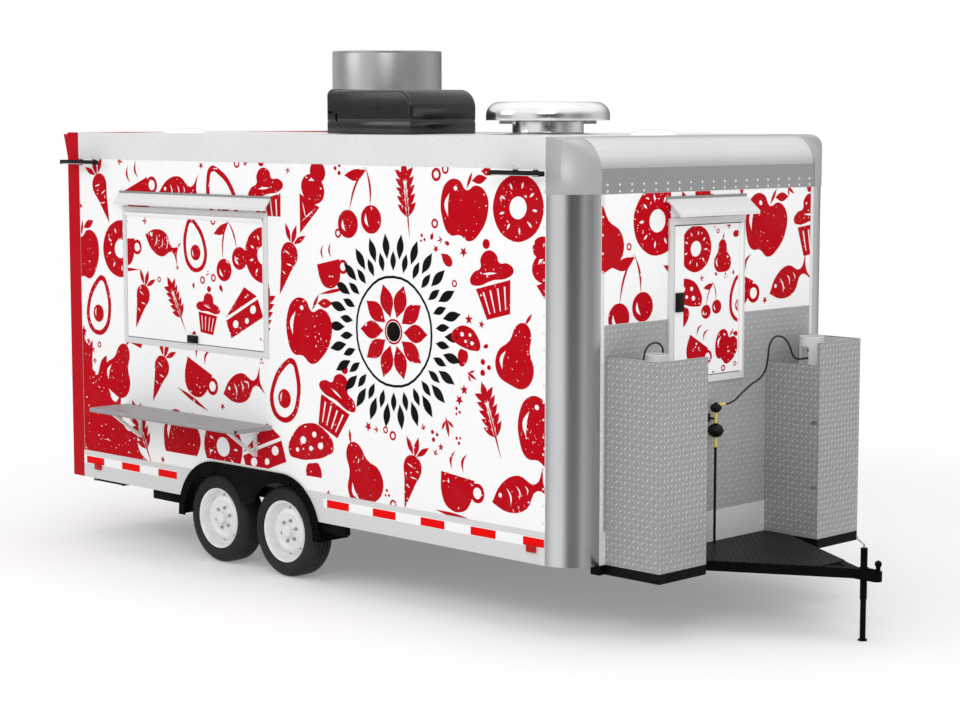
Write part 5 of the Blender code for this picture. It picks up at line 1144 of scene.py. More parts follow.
def tyre_section():
    """Half a tyre's section from bead to crown, then the other half mirrored: radius and depth."""
    half = [
        (0.1945, 0.034), (0.198, 0.023), (0.2035, 0.0155), (0.205, 0.013), (0.2085, 0.0125),
        (0.2095, 0.0095),
        (0.222, 0.0042), (0.24, 0.0008), (0.2415, 0.0), (0.2445, 0.0), (0.246, 0.0012), (0.26, 0.0036),
        (0.274, 0.009),
        (0.285, 0.0165), (0.292, 0.0245), (0.2965, 0.0335), (0.298, 0.042), (0.2985, 0.06),
        (0.2915, 0.0615),
        (0.2915, 0.0665), (0.2988, 0.068), (0.2991, 0.0895), (0.2915, 0.091),
    ]
    return half + [(radius, TYRE_WIDTH - depth) for radius, depth in reversed(half)]


def rim_section():
    """Pressed rim and disc: lip, deep dish, slope with the holes, centre plate and hub cap."""
    front = [
        (0.1938, 0.03), (0.1938, 0.163), (0.1975, 0.1655), (0.2015, 0.168), (0.203, 0.1725),
        (0.203, 0.1775),
        (0.2015, 0.1802), (0.199, 0.1804), (0.1965, 0.179), (0.192, 0.1755), (0.1865, 0.1665),
        (0.182, 0.154),
        (0.1792, 0.14), (0.1775, 0.126), (0.174, 0.1185), (0.168, 0.117), (0.16, 0.121), (0.146, 0.1335),
        (0.134, 0.1425), (0.126, 0.1452), (0.118, 0.1448), (0.11, 0.1405), (0.103, 0.1355), (0.096, 0.1335),
        (0.062, 0.1335), (0.054, 0.135), (0.0455, 0.1385), (0.0425, 0.143), (0.0415, 0.158),
        (0.0395, 0.1655),
        (0.034, 0.1692), (0.02, 0.1708), (0.0, 0.171),
    ]
    back = [
        (0.0, 0.112), (0.09, 0.112), (0.128, 0.128), (0.158, 0.104), (0.172, 0.104), (0.178, 0.104),
        (0.178, 0.03),
    ]
    return front + back


def wheels():
    """Tyres with ribs round the tread, dished rims with their holes, and the nuts."""
    rim_y = SIDE_Y - 0.009 - TYRE_WIDTH
    for side, hand in ((1, "left"), (-1, "right")):
        for row in ("rear", "front"):
            name = f"{row}_{hand}"
            body = f"wheel_{name}"
            low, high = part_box(f"tyre_{name}")
            centre = Vector(((low[0] + high[0]) / 2, side * rim_y, (low[2] + high[2]) / 2))
            outwards = Matrix.Translation(centre) @ Matrix.Rotation(-side * math.pi / 2, 4, "X")
            tyre = moved(turned(tyre_section(), ORIGIN, 96), outwards)
            completed(tyre, f"radial_tyre_{name}", "tyre", 28, [f"tyre_{name}"], body)
            rim = turned(rim_section(), ORIGIN, 72)
            holes = []
            nuts = []
            for number in range(8):
                turn = Matrix.Rotation(number * math.pi / 4, 4, "Z")
                hole = rod((0.152, 0.0, 0.09), (0.152, 0.0, 0.16), 0.0105, 16)
                holes.append(moved(hole, turn))
            for number in range(6):
                turn = Matrix.Rotation(number * math.pi / 3 + 0.3, 4, "Z")
                nut = [
                    (0.0, 0.1335), (0.0135, 0.1335), (0.0135, 0.136), (0.0105, 0.137), (0.0105, 0.1465),
                    (0.008, 0.149), (0.0, 0.1498),
                ]
                seat = turned(nut, (0.07, 0.0, 0.0), 6)
                nuts.append(moved(seat, turn))
            rim = moved(cut(rim, *holes), outwards)
            completed(rim, f"steel_rim_{name}", "wheel_paint", 28, [f"rim_{name}"], body)
            completed(moved(joined(nuts), outwards), f"wheel_nuts_{name}", "zinc", 30, body=body)


def arch(radius, low):
    """The outline over both wheels in X and Z: a quarter arc, a flat top and a quarter arc."""
    points = [(REAR_AXLE_X - radius, low)]
    points += arc((REAR_AXLE_X, WHEEL_Z), radius, math.pi, math.pi / 2, 24)
    points += arc((FRONT_AXLE_X, WHEEL_Z), radius, math.pi / 2, 0, 24)
    return points + [(FRONT_AXLE_X + radius, low)]


def fenders():
    """One skin over both wheels, a face that dips between them, rolled edges and end stubs."""
    for side, word in ((1, "left"), (-1, "right")):
        low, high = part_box(f"fender_{word}")
        outer = high[1] if side > 0 else low[1]
        back = low[1] if side > 0 else high[1]
        radius = FENDER_RADIUS
        skin = arch(radius, low[2]) + list(reversed(arch(radius - 0.008, low[2])))
        hood = extruded([(x, back, z) for x, z in skin], (0.0, outer - back, 0.0))
        hole = radius - 0.058
        face = arch(radius - 0.0002, low[2])
        edge = [(FRONT_AXLE_X + hole, low[2])] + arc((FRONT_AXLE_X, WHEEL_Z), hole, 0, CUSP_TURN, 28)
        edge += arc(
            (REAR_AXLE_X, WHEEL_Z), hole, math.pi - CUSP_TURN, math.pi, 28,
        ) + [(REAR_AXLE_X - hole, low[2])]
        thickness = -side * 0.012
        front = extruded([(x, outer, z) for x, z in face + edge], (0.0, thickness, 0.0))
        lip = tube([(x, outer + side * -0.001, z) for x, z in edge], 0.0042)
        rim = tube([(x, outer + side * -0.003, z) for x, z in arch(radius - 0.003, low[2])], 0.0052)
        pieces = [hood, front, lip, rim]
        top = BODY_BOTTOM - GAP
        for axle, forward, length in ((REAR_AXLE_X, -1, 0.31), (FRONT_AXLE_X, 1, 0.23)):
            start = axle + forward * (radius - 0.012)
            stop = axle + forward * (radius + length)
            inner, outside = side * (SIDE_Y - 0.05), side * SIDE_Y
            pieces.append(slab((start, inner, top - 0.062), (stop, outside, top), 0.004))
        completed(pieces, f"tandem_fender_{word}", "fender_plate", 32, [f"fender_{word}"])


def tube(points, radius, sides=8):
    """A round bead along points: a drawn line given thickness by a curve bevel, as a mesh."""
    deselect()
    obj = drawn(points)
    mode("OBJECT")
    bpy.ops.object.convert(target="CURVE")
    obj = bpy.context.object
    obj.data.bevel_depth = radius
    obj.data.bevel_resolution = max(0, sides // 2 - 2)
    obj.data.use_fill_caps = True
    bpy.ops.object.convert(target="MESH")
    edit_all()
    return seal()


# Fixings and trim

RIVET_DOME = (
    (0.008, -0.0004), (0.0078, 0.001), (0.0064, 0.0028), (0.0036, 0.0041), (0.0, 0.0045), (0.0, -0.0004),
)


def rivet_row(place, axis, sense, count=1, step=ORIGIN):
    """Domed rivets in a row from a first place, which stand out along the axis."""
    rivet = turned([(radius, sense * height) for radius, height in RIVET_DOME], place, 10, axis)
    return copies(rivet, count, step) if count > 1 else rivet


def rivets():
    """Rivets of the top rails, front trim, skirts and the front wall's edges."""
    rows = []
    pitch = 0.103
    for side in (1, -1):
        y = side * (SIDE_Y + 0.004)
        for z in (RAIL_LOW + 0.022, ROOF_TOP - 0.022):
            rows.append(((WALL_START_X + 0.05, y, z), "Y", side, 43, (pitch, 0.0, 0.0)))
        skirt = [WALL_END_X - 0.03] + [WALL_END_X - 0.16 - number * 0.37 for number in range(13)]
        for x in skirt:
            if not REAR_AXLE_X - 0.43 < x < FRONT_AXLE_X + 0.43 and x > WALL_START_X + 0.02:
                for z in (0.448, 0.486):
                    rows.append(((x, y + side * 0.0002, z), "Y", side))
        place = (WALL_END_X - 0.014, side * (SIDE_Y + INK), 0.66)
        rows.append((place, "Y", side, 20, (0.0, 0.0, 0.1)))
    for z in (2.56, 2.598):
        rows.append(((FRONT_X + 0.0027, -POST_Y + 0.05, z), "X", 1, 19, (0.0, 0.1055, 0.0)))
    for side in (1, -1):
        place = (FRONT_X + 0.001, side * (POST_Y - 0.014), 0.65)
        rows.append((place, "X", 1, 19, (0.0, 0.0, 0.104)))
        for z in (0.47, 0.55):
            rows.append(((FRONT_X + 0.004, side * (POST_Y - 0.04), z), "X", 1))
            rows.append(((FRONT_X + 0.004, side * (BOX_INNER_Y - 0.04), z), "X", 1))
    completed([rivet_row(*row) for row in rows], "body_rivets", "trim", 40)


def front_trim():
    """The front skirt plate, the cross-member's ends below it and the strips by the posts."""
    half = POST_Y - GAP
    skirt = slab((FRONT_X + GAP, -half, BODY_BOTTOM), (FRONT_X + 0.0035, half, SKIRT_TOP), 0.001, 1)
    completed(skirt, "front_skirt", "skirt_paint", 30)
    members, strips = [], []
    for side in (1, -1):
        near, far = side * (BOX_OUTER_Y + 0.0005), side * (POST_Y + 0.01)
        low, high = (FRONT_X - 0.06, near, 0.36), (FRONT_X + 0.012, far, BODY_BOTTOM - GAP)
        members.append(slab(low, high, 0.002, 1))
        near, far = side * (half - 0.03), side * half
        low, high = (FRONT_X + GAP, near, SKIRT_TOP + 0.001), (FRONT_X + 0.0012, far, 2.66)
        strips.append(slab(low, high, 0.0003, 1))
    completed(members, "front_cross_member", "black_steel", 30)
    completed(strips, "front_edge_strips", "trim", 30)


def tapes():
    """Red and white reflective strips on both skirts, and raised lenses over the marker lamps."""
    red, white, lenses = [], [], []
    wheels_start, wheels_end = REAR_AXLE_X - 0.42, FRONT_AXLE_X + 0.42
    for side in (1, -1):
        y = side * (SIDE_Y + 0.0042)
        starts = [WALL_START_X + 0.035 + number * 0.421 for number in range(3)]
        starts += [WALL_END_X - 0.17 - number * 0.43 for number in range(5)]
        near, far = y + side * 0.0008, y + side * 0.0017
        for start in starts:
            end = min(start + TAPE_LENGTH, WALL_END_X - 0.002)
            red.append(slab((start, near, TAPE_LOW), (end, far, TAPE_HIGH), 0.0003, 1))
        near, far = y + side * 0.0001, y + side * 0.0006
        for start, end in ((WALL_START_X + 0.004, wheels_start), (wheels_end, WALL_END_X - 0.002)):
            low, high = (start, near, TAPE_LOW - 0.004), (end, far, TAPE_HIGH + 0.004)
            white.append(slab(low, high, 0.0003, 1))
        y = side * (SIDE_Y + 0.0122)
        for x in (REAR_X + 0.272, FRONT_X - 0.355):
            low, high = (x - 0.003, y, 0.482), (x + 0.075, y + side * 0.006, 0.522)
            lenses.append(slab(low, high, 0.0035, 3))
    completed(white, "white_strips", "plain_white", 30)
    completed(red, "reflective_strips", "tape", 30)
    completed(lenses, "marker_lenses", "red_lens")


def cap_seals():
    """The grey seal along the top of each hatch's drip cap."""
    away = INK + GAP
    low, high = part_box("serving_drip_cap")
    ends = (low[0], -SIDE_Y - 0.008, high[2] - 0.004), (high[0], -SIDE_Y - away, high[2] + 0.012)
    seals = [slab(*ends, 0.001, 2)]
    low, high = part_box("front_drip_cap")
    ends = (FRONT_X + away, low[1], high[2] - 0.004), (FRONT_X + 0.008, high[1], high[2] + 0.014)
    seals.append(slab(*ends, 0.001, 2))
    completed(seals, "cap_seals", "sealant", 30)


def latches():
    """The black lift latch of the serving leaf and the tall black handle of the front one."""
    low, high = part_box("serving_hatch_door")
    x, y, z = (low[0] + high[0]) / 2, SERVING_LEAF_Y, 1.495
    plate = slab((x - 0.0495, y - 0.0205, z - 0.026), (x + 0.0495, y - 0.0002, z + 0.026), 0.003)
    lever = slab((x - 0.034, y - 0.0245, z - 0.017), (x + 0.034, y - 0.02, z + 0.017))
    lock = [(0.0, 0.0), (0.009, 0.0), (0.009, 0.002), (0.0065, 0.003), (0.0, 0.003)]
    parts = [plate, lever, turned(lock, (x, y - 0.0268, z), 20, "Y")]
    completed(parts, "serving_latch", "black_plastic", body="serving_hatch_door")
    low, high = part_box("front_hatch_door")
    x, y, z = FRONT_LEAF_X, low[1] + 0.006, (low[2] + high[2]) / 2
    plate = slab((x + 0.0001, y - 0.002, z - 0.057), (x + 0.0145, y + 0.067, z + 0.057), 0.003)
    lever = slab((x + 0.0142, y + 0.01, z - 0.04), (x + 0.0185, y + 0.055, z + 0.045))
    completed([plate, lever], "front_latch", "black_plastic", body="front_hatch_door")


def flood_lights():
    """Slim bars with cooling fins on top, a lens below, end caps and two bolted arms."""
    near, far, wall = -SIDE_Y - 0.055, -SIDE_Y - 0.1, -SIDE_Y - INK
    for word in ("rear", "front"):
        (x_low, _, z_low), (x_high, _, z_high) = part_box(f"flood_light_{word}")
        first = (x_low + 0.008, far, z_low + 0.006)
        parts = [slab(first, (x_high - 0.008, near, z_high - 0.006), 0.004)]
        first = (x_low + 0.02, far + 0.002, z_high - 0.008)
        fin = slab(first, (x_low + 0.0225, near - 0.002, z_high), 0.0006, 1)
        parts.append(copies(fin, 45, ((x_high - x_low - 0.042) / 44, 0.0, 0.0)))
        for x in (x_low, x_high - 0.01):
            parts.append(slab((x, far - 0.001, z_low), (x + 0.01, near + 0.001, z_high), 0.003))
        for x in (x_low + 0.11, x_high - 0.13):
            first = (x, near - 0.012, z_low + 0.011)
            parts.append(slab(first, (x + 0.02, wall, z_high - 0.011), 0.002, 1))
            first = (x - 0.012, -SIDE_Y - 0.004, z_low - 0.004)
            parts.append(slab(first, (x + 0.032, wall, z_high + 0.004)))
        name = f"flood_light_{word}"
        completed(parts, f"flood_bar_{word}", "black_plastic", stands_for=[name])
        lens = (x_low + 0.014, far + 0.004, z_low + 0.002), (x_high - 0.014, near - 0.004, z_low + 0.0075)
        completed(slab(*lens), f"flood_lens_{word}", "clear_lens")


def regulators():
    """The riser pipe, two round regulators, and the brass fittings between and beside them."""
    x, y = PIPE_PLACE
    axis = (x, y, 0.0)
    low, rise = 1.01, 0.274
    black = [turned(pin(0.008, 0.4194, low + 0.002), axis, 20)]
    for middle, radius, height in ((low + 0.36 * rise, 0.048, 0.084), (low + 0.86 * rise, 0.034, 0.058)):
        body = arc((0.0, middle), (radius, height / 2), -math.pi / 2, -0.16, 10)
        body += [(radius + 0.002, middle - 0.004), (radius + 0.002, middle + 0.004)]
        body += arc((0.0, middle), (radius, height / 2), 0.16, math.pi / 2, 10)
        black.append(turned([(abs(r), z) for r, z in body], axis, 40))
        top, neck = middle + height / 2, radius * 0.32
        knob = [(0.0, top - 0.002), (neck, top - 0.002), (neck, top + 0.004), (0.0, top + 0.005)]
        black.append(turned(knob, axis, 24))
    wall = FRONT_X + GAP
    black.append(slab((wall, y - 0.015, low + 0.165), (x, y + 0.015, low + 0.175), 0.001, 1))
    far = (FRONT_X + 0.004, y + 0.022, low + 0.195)
    black.append(slab((wall, y - 0.022, low + 0.145), far, 0.001, 1))
    completed(black, "regulator_bodies", "black_plastic", stands_for=["gas_regulator"])
    brass = []
    for start, stop in ((low - 0.002, low + 0.068), (low + 0.13, low + 0.212)):
        inner = HEX_RADIUS * 0.8
        nut = [(0.0, start), (inner, start), (HEX_RADIUS, start + 0.003), (HEX_RADIUS, stop - 0.003)]
        brass.append(turned(nut + [(inner, stop), (0.0, stop)], axis, 6))
        brass.append(turned(pin(0.0142, start + 0.004, start + 0.02), axis, 6))
    elbow = [(0.0, 0.0), (0.0095, 0.0), (0.0095, 0.05), (HEX_RADIUS, 0.05), (HEX_RADIUS, 0.068)]
    elbow += [(0.0095, 0.07), (0.0095, 0.0855), (0.0, 0.0855)]
    brass.append(turned(elbow, (x, y, low + 0.92 * rise), 6, "Y"))
    completed(brass, "brass_fittings", "brass", 30)


def gas_bottles():
    """Tall white bottles: a welded seam, a collar with two windows, the valve and its wheel."""
    for word in ("left", "right"):
        (x_low, y_low, foot), (x_high, y_high, _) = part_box(f"gas_bottle_{word}")
        x, y = (x_low + x_high) / 2, (y_low + y_high) / 2
        centre = (x, y, 0.0)
        shoulder, body_top = foot + 1.021, foot + 0.881
        body = [(0.0, foot + 0.012), (0.13, foot + 0.012), (0.14, foot), (0.15, foot), (0.15, foot + 0.03)]
        body += arc((0.144, foot + 0.07), 0.04, -math.pi / 3, 0, 6)
        for proud, below in ((0.0, 0.45), (0.0008, 0.448), (0.0008, 0.442), (0.0, 0.44)):
            body.append((BOTTLE_RADIUS + proud, body_top - below))
        body += arc((0, body_top), (BOTTLE_RADIUS, 0.14), 0, math.pi / 2, 20)
        whole = turned([(max(r, 0.0), z) for r, z in body], centre, 64)
        top = shoulder + 0.195
        ring = [(0.072, shoulder - 0.012), (0.076, shoulder - 0.014), (0.076, top - 0.006)]
        ring += arc((0.0745, top - 0.004), 0.004, -0.4, math.pi + 0.4, 8)
        collar = turned(ring + [(0.072, top - 0.006)], centre, 48)
        windows = []
        for sense in (-1, 1):
            low = (x - 0.028, y + sense * 0.05, shoulder + 0.025)
            windows.append(slab(low, (x + 0.028, y + sense * 0.1, shoulder + 0.135), 0.006))
        cut(collar, *windows)
        name = f"gas_bottle_{word}"
        completed(
            [whole, collar], f"gas_bottle_body_{word}", "bottle_paint", stands_for=[name],
        )
        stem = ((0.0, -0.004), (0.022, -0.004), (0.022, 0.01), (0.014, 0.014), (0.014, 0.042),
            (0.018, 0.045),
                (0.018, 0.075), (0.009, 0.08), (0.009, 0.1), (0.0, 0.1))
        valve = turned([(r, shoulder + rise) for r, rise in stem], centre, 20)
        tip = (
            (0.0, 0.0), (0.0105, 0.0), (0.0105, 0.02), (HEX_RADIUS, 0.021), (HEX_RADIUS, 0.034),
            (0.0, 0.034),
        )
        outlet = Matrix.Translation((x, y, shoulder + 0.06)) @ Matrix.Rotation(math.pi / 2, 4, "X")
        spout = moved(turned(tip, ORIGIN, 6), outlet)
        completed([valve, spout], f"bottle_valve_{word}", "brass", 30)
        wheel = ((0.0, 0.096), (0.026, 0.098), (0.027, 0.104), (0.0265, 0.113), (0.0, 0.117))
        knob = turned([(r, shoulder + rise) for r, rise in wheel], centre, 32)
        notches = []
        for number in range(8):
            angle = number * math.pi / 4
            spot = (x + 0.03 * math.cos(angle), y + 0.03 * math.sin(angle))
            notches.append(rod((*spot, shoulder + 0.09), (*spot, shoulder + 0.125), 0.0065, 12))
        cut(knob, *notches)
        completed(knob, f"bottle_handwheel_{word}", "black_plastic", 30)


def box_edges():
    """Folded lips along the gas boxes' tops and the two tabs on each inner sheet."""
    pieces = []
    for side, word in ((1, "left"), (-1, "right")):
        low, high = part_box(f"gas_box_{word}")
        inner, top, lower = side * BOX_INNER_Y, high[2], BOX_FLOOR + 1.065
        outer, front = side * BOX_OUTER_Y - side * 0.003, high[0] - 0.003
        pieces.append(rod((low[0], outer, top), (high[0], outer, top), 0.0038, 10))
        pieces.append(rod((front, inner, top), (front, side * BOX_OUTER_Y, top), 0.0038, 10))
        edge = inner + side * 0.003
        pieces.append(rod((low[0], edge, lower), (high[0] - 0.022, edge, lower), 0.0038, 10))
        for z in (0.72, 1.12):
            tab = (high[0] - 0.06, inner - side * 0.002, z), (high[0] - 0.012, inner, z + 0.022)
            pieces.append(slab(*tab, 0.0008, 1))
    completed(pieces, "gas_box_edges", "zinc")


def tongue():
    """The coupler's latch and pin, the jack's upper collar, and its pale crank."""
    collar = [(0.0207, 0.4155), (0.031, 0.4155), (0.031, 0.423), (0.0225, 0.427), (0.0207, 0.427)]
    steel = [
        slab((0.034, -0.012, 0.4155), (0.088, 0.012, 0.424)),
        slab((0.05, -0.034, 0.38), (0.064, 0.034, 0.392), 0.003),
        turned(collar, ORIGIN, 32),
    ]
    completed(steel, "coupler_latch", "black_steel")
    line = ((0.0, 0.538), (0.0, 0.556), (-0.006, 0.561), (-0.044, 0.584), (-0.05, 0.5895), (-0.052, 0.6))
    completed(tube([(x, 0.0, z) for x, z in line], 0.0052, 10), "jack_crank", "zinc", 40)


def shelf_trim():
    """The shelf's rolled front edge."""
    low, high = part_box("serving_shelf")
    y, z = low[1] + 0.006, high[2] - 0.015
    completed(
        rod((low[0], y, z), (high[0], y, z), 0.0154, 20), "shelf_front_roll", "shelf_metal",
    )


def rear_trim():
    """Tail lamp lenses, and the door's handle on its plate."""
    lenses = []
    x = REAR_X - 0.0195
    for middle in (-1.155, 1.155):
        for low, high in ((0.722, 0.775), (0.779, 0.832), (0.836, 0.878)):
            lenses.append(slab((x - 0.003, middle - 0.033, low), (x, middle + 0.033, high), 0.0012))
    completed(lenses, "tail_lamp_lenses", "red_lens")
    low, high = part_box("rear_door")
    y = low[1] + 0.035
    grip = slab((-6.0365, y - 0.002, 1.539), (-6.003, y + 0.037, 1.665), 0.006, 3)
    back = slab((-6.0073, y - 0.012, 1.5), (-6.0053, y + 0.047, 1.7), 0.0008, 1)
    completed([grip, back], "rear_door_handle", "black_plastic", body="rear_door")


def suspension():
    """The uprights and the lower plates that clamp each axle to its springs."""
    pieces = []
    for word in ("left", "right"):
        low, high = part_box(f"springs_{word}")
        y = (low[1] + high[1]) / 2
        for axle in (REAR_AXLE_X, FRONT_AXLE_X):
            for x in (axle - 0.032, axle + 0.032):
                for across in (y - 0.028, y + 0.028):
                    foot, head = (x, across, WHEEL_Z - 0.05), (x, across, WHEEL_Z + 0.07)
                    pieces.append(rod(foot, head, 0.0055, 10))
            ends = (axle - 0.05, y - 0.04, WHEEL_Z - 0.043), (axle + 0.05, y + 0.04, WHEEL_Z - 0.035)
            pieces.append(slab(*ends, 0.002, 1))
    completed(pieces, "axle_clamps", "zinc")


# Print on the skin: outlines in shares of a motif's size, drawn as smooth curves. An outline
# inside another is left white, and a point with a third number is a sharp corner.

def oval(x, y, wide, high, turn=0.0):
    """Eight points of an oval, which the curve's own handles make round."""
    points = []
    cosine, sine = math.cos(turn), math.sin(turn)
    for number in range(8):
        angle = number * math.pi / 4
        u, v = wide * math.cos(angle), high * math.sin(angle)
        points.append((x + u * cosine - v * sine, y + u * sine + v * cosine))
    return points


def blade(start, end, width, bow=0.0):
    """A leaf or a stroke with two sharp ends, bowed to one side."""
    a, b = Vector((*start, 0.0)), Vector((*end, 0.0))
    across = Vector((a.y - b.y, b.x - a.x, 0.0)).normalized()
    middle = (a + b) / 2 + across * bow
    sides = [middle + across * width / 2, middle - across * width / 2]
    return [(a.x, a.y, 1), tuple(sides[0].xy), (b.x, b.y, 1), tuple(sides[1].xy)]


def straight(*points):
    return [(x, y, 1) for x, y in points]


def mirrored_outline(points):
    return points + [(-x, *rest) for x, *rest in reversed(points) if x]


def petals(count, near, far, width, turn=0.0):
    made = []
    for number in range(count):
        angle = turn + TAU * number / count
        u, v = math.cos(angle), math.sin(angle)
        made.append(blade((near * u, near * v), (far * u, far * v), width))
    return made


def motifs():
    """Everyday food and drink, and small marks, each a list of outlines, ovals and blades."""
    apple = [(0.0, 0.2), (0.16, 0.3), (0.36, 0.24), (0.44, 0.02), (0.34, -0.3), (0.18, -0.44), (0.0, -0.4)]
    pear = [(0.0, 0.34), (0.13, 0.26), (0.18, 0.04), (0.33, -0.18), (0.26, -0.42), (0.0, -0.48)]
    pod = [(0.0, 0.46), (0.16, 0.34), (0.3, -0.02), (0.24, -0.34), (0.0, -0.46)]
    flesh = [(0.0, 0.38), (0.11, 0.28), (0.23, -0.04), (0.18, -0.29), (0.0, -0.39)]
    carrot = [(-0.16, 0.14), (0.0, 0.24), (0.16, 0.14), (0.1, -0.14), (0.0, -0.5, 1), (-0.1, -0.14)]
    cap = mirrored_outline([(0.0, 0.46), (0.3, 0.36), (0.46, 0.08), (0.3, 0.0), (0.0, -0.03)])
    stalk = mirrored_outline([(0.0, -0.08), (0.12, -0.1), (0.12, -0.36), (0.0, -0.46)])
    cone = straight((-0.21, -0.04), (0.21, -0.04), (0.0, -0.5))
    cake = straight((-0.3, -0.06), (0.3, -0.06), (0.2, -0.46), (-0.2, -0.46))
    cream = [(0.0, 0.36), (0.14, 0.28), (0.16, 0.18), (0.3, 0.14), (0.38, 0.04), (0.3, -0.02), (0.0, -0.01)]
    wedge = straight((-0.46, -0.26), (0.42, -0.26), (0.42, 0.04), (-0.46, 0.04))
    top = straight((-0.44, 0.09), (0.42, 0.09), (0.2, 0.34))
    fish = [(-0.46, 0.0, 1), (-0.24, 0.17), (0.06, 0.2), (0.3, 0.04), (0.48, 0.2, 1), (0.42, 0.0),
        (0.48, -0.2, 1),
            (0.3, -0.04), (0.06, -0.2), (-0.24, -0.17)]
    cup = [(-0.34, 0.12, 1), (0.24, 0.12, 1), (0.2, -0.16), (0.08, -0.3), (-0.18, -0.3), (-0.3, -0.16)]
    stripes = []
    for x in (-0.2, -0.08, 0.05, 0.17):
        foot = x * 0.75
        stripes.append(straight((x, -0.12), (x + 0.03, -0.12), (foot + 0.02, -0.4), (foot, -0.4)))
    ear = [blade((0.0, -0.5), (0.0, 0.2), 0.03)] + [blade((0.0, 0.22), (0.0, 0.5), 0.11)]
    for number in range(5):
        low = -0.22 + number * 0.11
        for side in (-1, 1):
            ear.append(blade((side * 0.02, low), (side * 0.17, low + 0.17), 0.085, side * 0.02))
    star = []
    for number, reach in enumerate((0.46, 0.2) * 5):
        star.append((reach * math.sin(number * math.pi / 5), reach * math.cos(number * math.pi / 5)))
    whole = {
        "apple": [mirrored_outline(apple), (0.0, 0.22, 0.06, 0.46, 0.05), (0.07, 0.34, 0.34, 0.44, 0.12),
            (-0.3, 0.1, -0.26, -0.22, 0.07, -0.05), (-0.2, 0.18, 0.035, 0.03)],
        "pear": [mirrored_outline(pear), (0.0, 0.32, 0.07, 0.5, 0.045),
            (-0.2, -0.1, -0.18, -0.36, 0.06, -0.05)],
        "cherries": [(-0.22, -0.28, 0.19, 0.18), (0.22, -0.2, 0.19, 0.18),
            (-0.2, -0.12, 0.1, 0.46, 0.035, 0.05), (0.2, -0.04, 0.11, 0.46, 0.035, -0.04),
            (0.12, 0.42, -0.3, 0.34, 0.15, 0.03), (-0.32, -0.22, -0.26, -0.38, 0.05, -0.03),
            (0.12, -0.12, 0.18, -0.3, 0.05, -0.03)],
        "carrot": [carrot, (0.0, 0.22, 0.0, 0.5, 0.09), (-0.03, 0.24, -0.22, 0.44, 0.08),
            (0.03, 0.24, 0.22, 0.44, 0.08), (-0.12, 0.1, 0.02, 0.08, 0.022),
            (0.11, -0.04, -0.02, -0.06, 0.022), (-0.07, -0.18, 0.03, -0.2, 0.02)],
        "mushroom": [cap, stalk, (-0.14, 0.24, 0.06, 0.05), (0.1, 0.3, 0.045, 0.04),
            (0.2, 0.14, 0.055, 0.045), (-0.28, 0.12, 0.035, 0.03), (0.0, 0.12, 0.04, 0.035)],
        "wheat": ear,
        "doughnut": [(0.0, 0.0, 0.44, 0.42), (0.0, 0.0, 0.15, 0.14), *petals(9, 0.24, 0.34, 0.035, 0.2)],
        "cone": [cone, (0.0, 0.12, 0.23, 0.18), (0.0, 0.36, 0.15, 0.13), (-0.13, -0.1, 0.04, -0.3, 0.022),
            (0.13, -0.1, -0.04, -0.36, 0.022), (-0.12, 0.18, 0.02, 0.24, 0.04, 0.02)],
        "cupcake": [cake, mirrored_outline(cream), (0.0, 0.44, 0.06, 0.06), (-0.16, 0.1, 0.1, 0.06, 0.03),
            *stripes],
        "cheese": [wedge, top, (-0.26, -0.1, 0.07, 0.06), (0.02, -0.16, 0.05, 0.045),
            (0.24, -0.06, 0.075, 0.065)],
        "fish": [fish, (-0.3, 0.05, 0.028, 0.028), (-0.18, 0.12, -0.18, -0.12, 0.03, 0.04),
            (-0.02, 0.1, -0.02, -0.08, 0.025, 0.04), (0.12, 0.07, 0.12, -0.06, 0.022, 0.03)],
        "cup": [cup, (0.3, -0.02, 0.12, 0.12), (0.3, -0.02, 0.07, 0.07), (-0.4, -0.38, 0.34, -0.38, 0.06),
            (-0.16, 0.18, -0.12, 0.42, 0.04, 0.05), (0.04, 0.18, 0.08, 0.42, 0.04, 0.05)],
        "avocado": [mirrored_outline(pod), mirrored_outline(flesh), (0.0, -0.13, 0.13, 0.13),
            (-0.07, -0.05, -0.05, -0.2, 0.03, -0.02)],
    }
    small = {
        "star": [straight(*star)],
        "ring": [(0.0, 0.0, 0.4, 0.4), (0.0, 0.0, 0.22, 0.22)],
        "drop": [[(0.0, 0.48, 1), (0.24, -0.04), (0.0, -0.36), (-0.24, -0.04)]],
        "sprig": [(0.0, -0.46, 0.0, 0.46, 0.2), (-0.05, -0.3, -0.4, 0.08, 0.14),
            (0.05, -0.3, 0.4, 0.08, 0.14)],
        "dots": [(-0.22, -0.16, 0.14, 0.14), (0.24, -0.1, 0.11, 0.11), (0.0, 0.26, 0.13, 0.13)],
    }
    return whole, small


def shaped(items):
    """Outlines stay as they are; four numbers are an oval, and more a blade from end to end."""
    made = []
    for item in items:
        if isinstance(item, list):
            made.append(item)
        elif len(item) == 4:
            made.append(oval(*item))
        else:
            made.append(blade(item[:2], item[2:4], *item[4:]))
    return made


def encloses(outer, place):
    """Whether a place lies within an outline, by counting the edges that it looks across."""
    crossings = 0
    for first, second in zip(outer, outer[1:] + outer[:1]):
        if (first[1] > place[1]) != (second[1] > place[1]):
            share = (place[1] - first[1]) / (second[1] - first[1])
            crossings += place[0] < first[0] + share * (second[0] - first[0])
    return crossings % 2 == 1


def grouped(outlines):
    """Outlines that lie wholly within another go with it; all others stand alone."""
    def narrowness(points):
        across = [place[0] for place in points]
        return min(across) - max(across)

    groups = []
    for outline in sorted(outlines, key=narrowness):
        for group in groups:
            if all(encloses(group[0], place) for place in outline):
                group.append(outline)
                break
        else:
            groups.append([outline])
    return groups


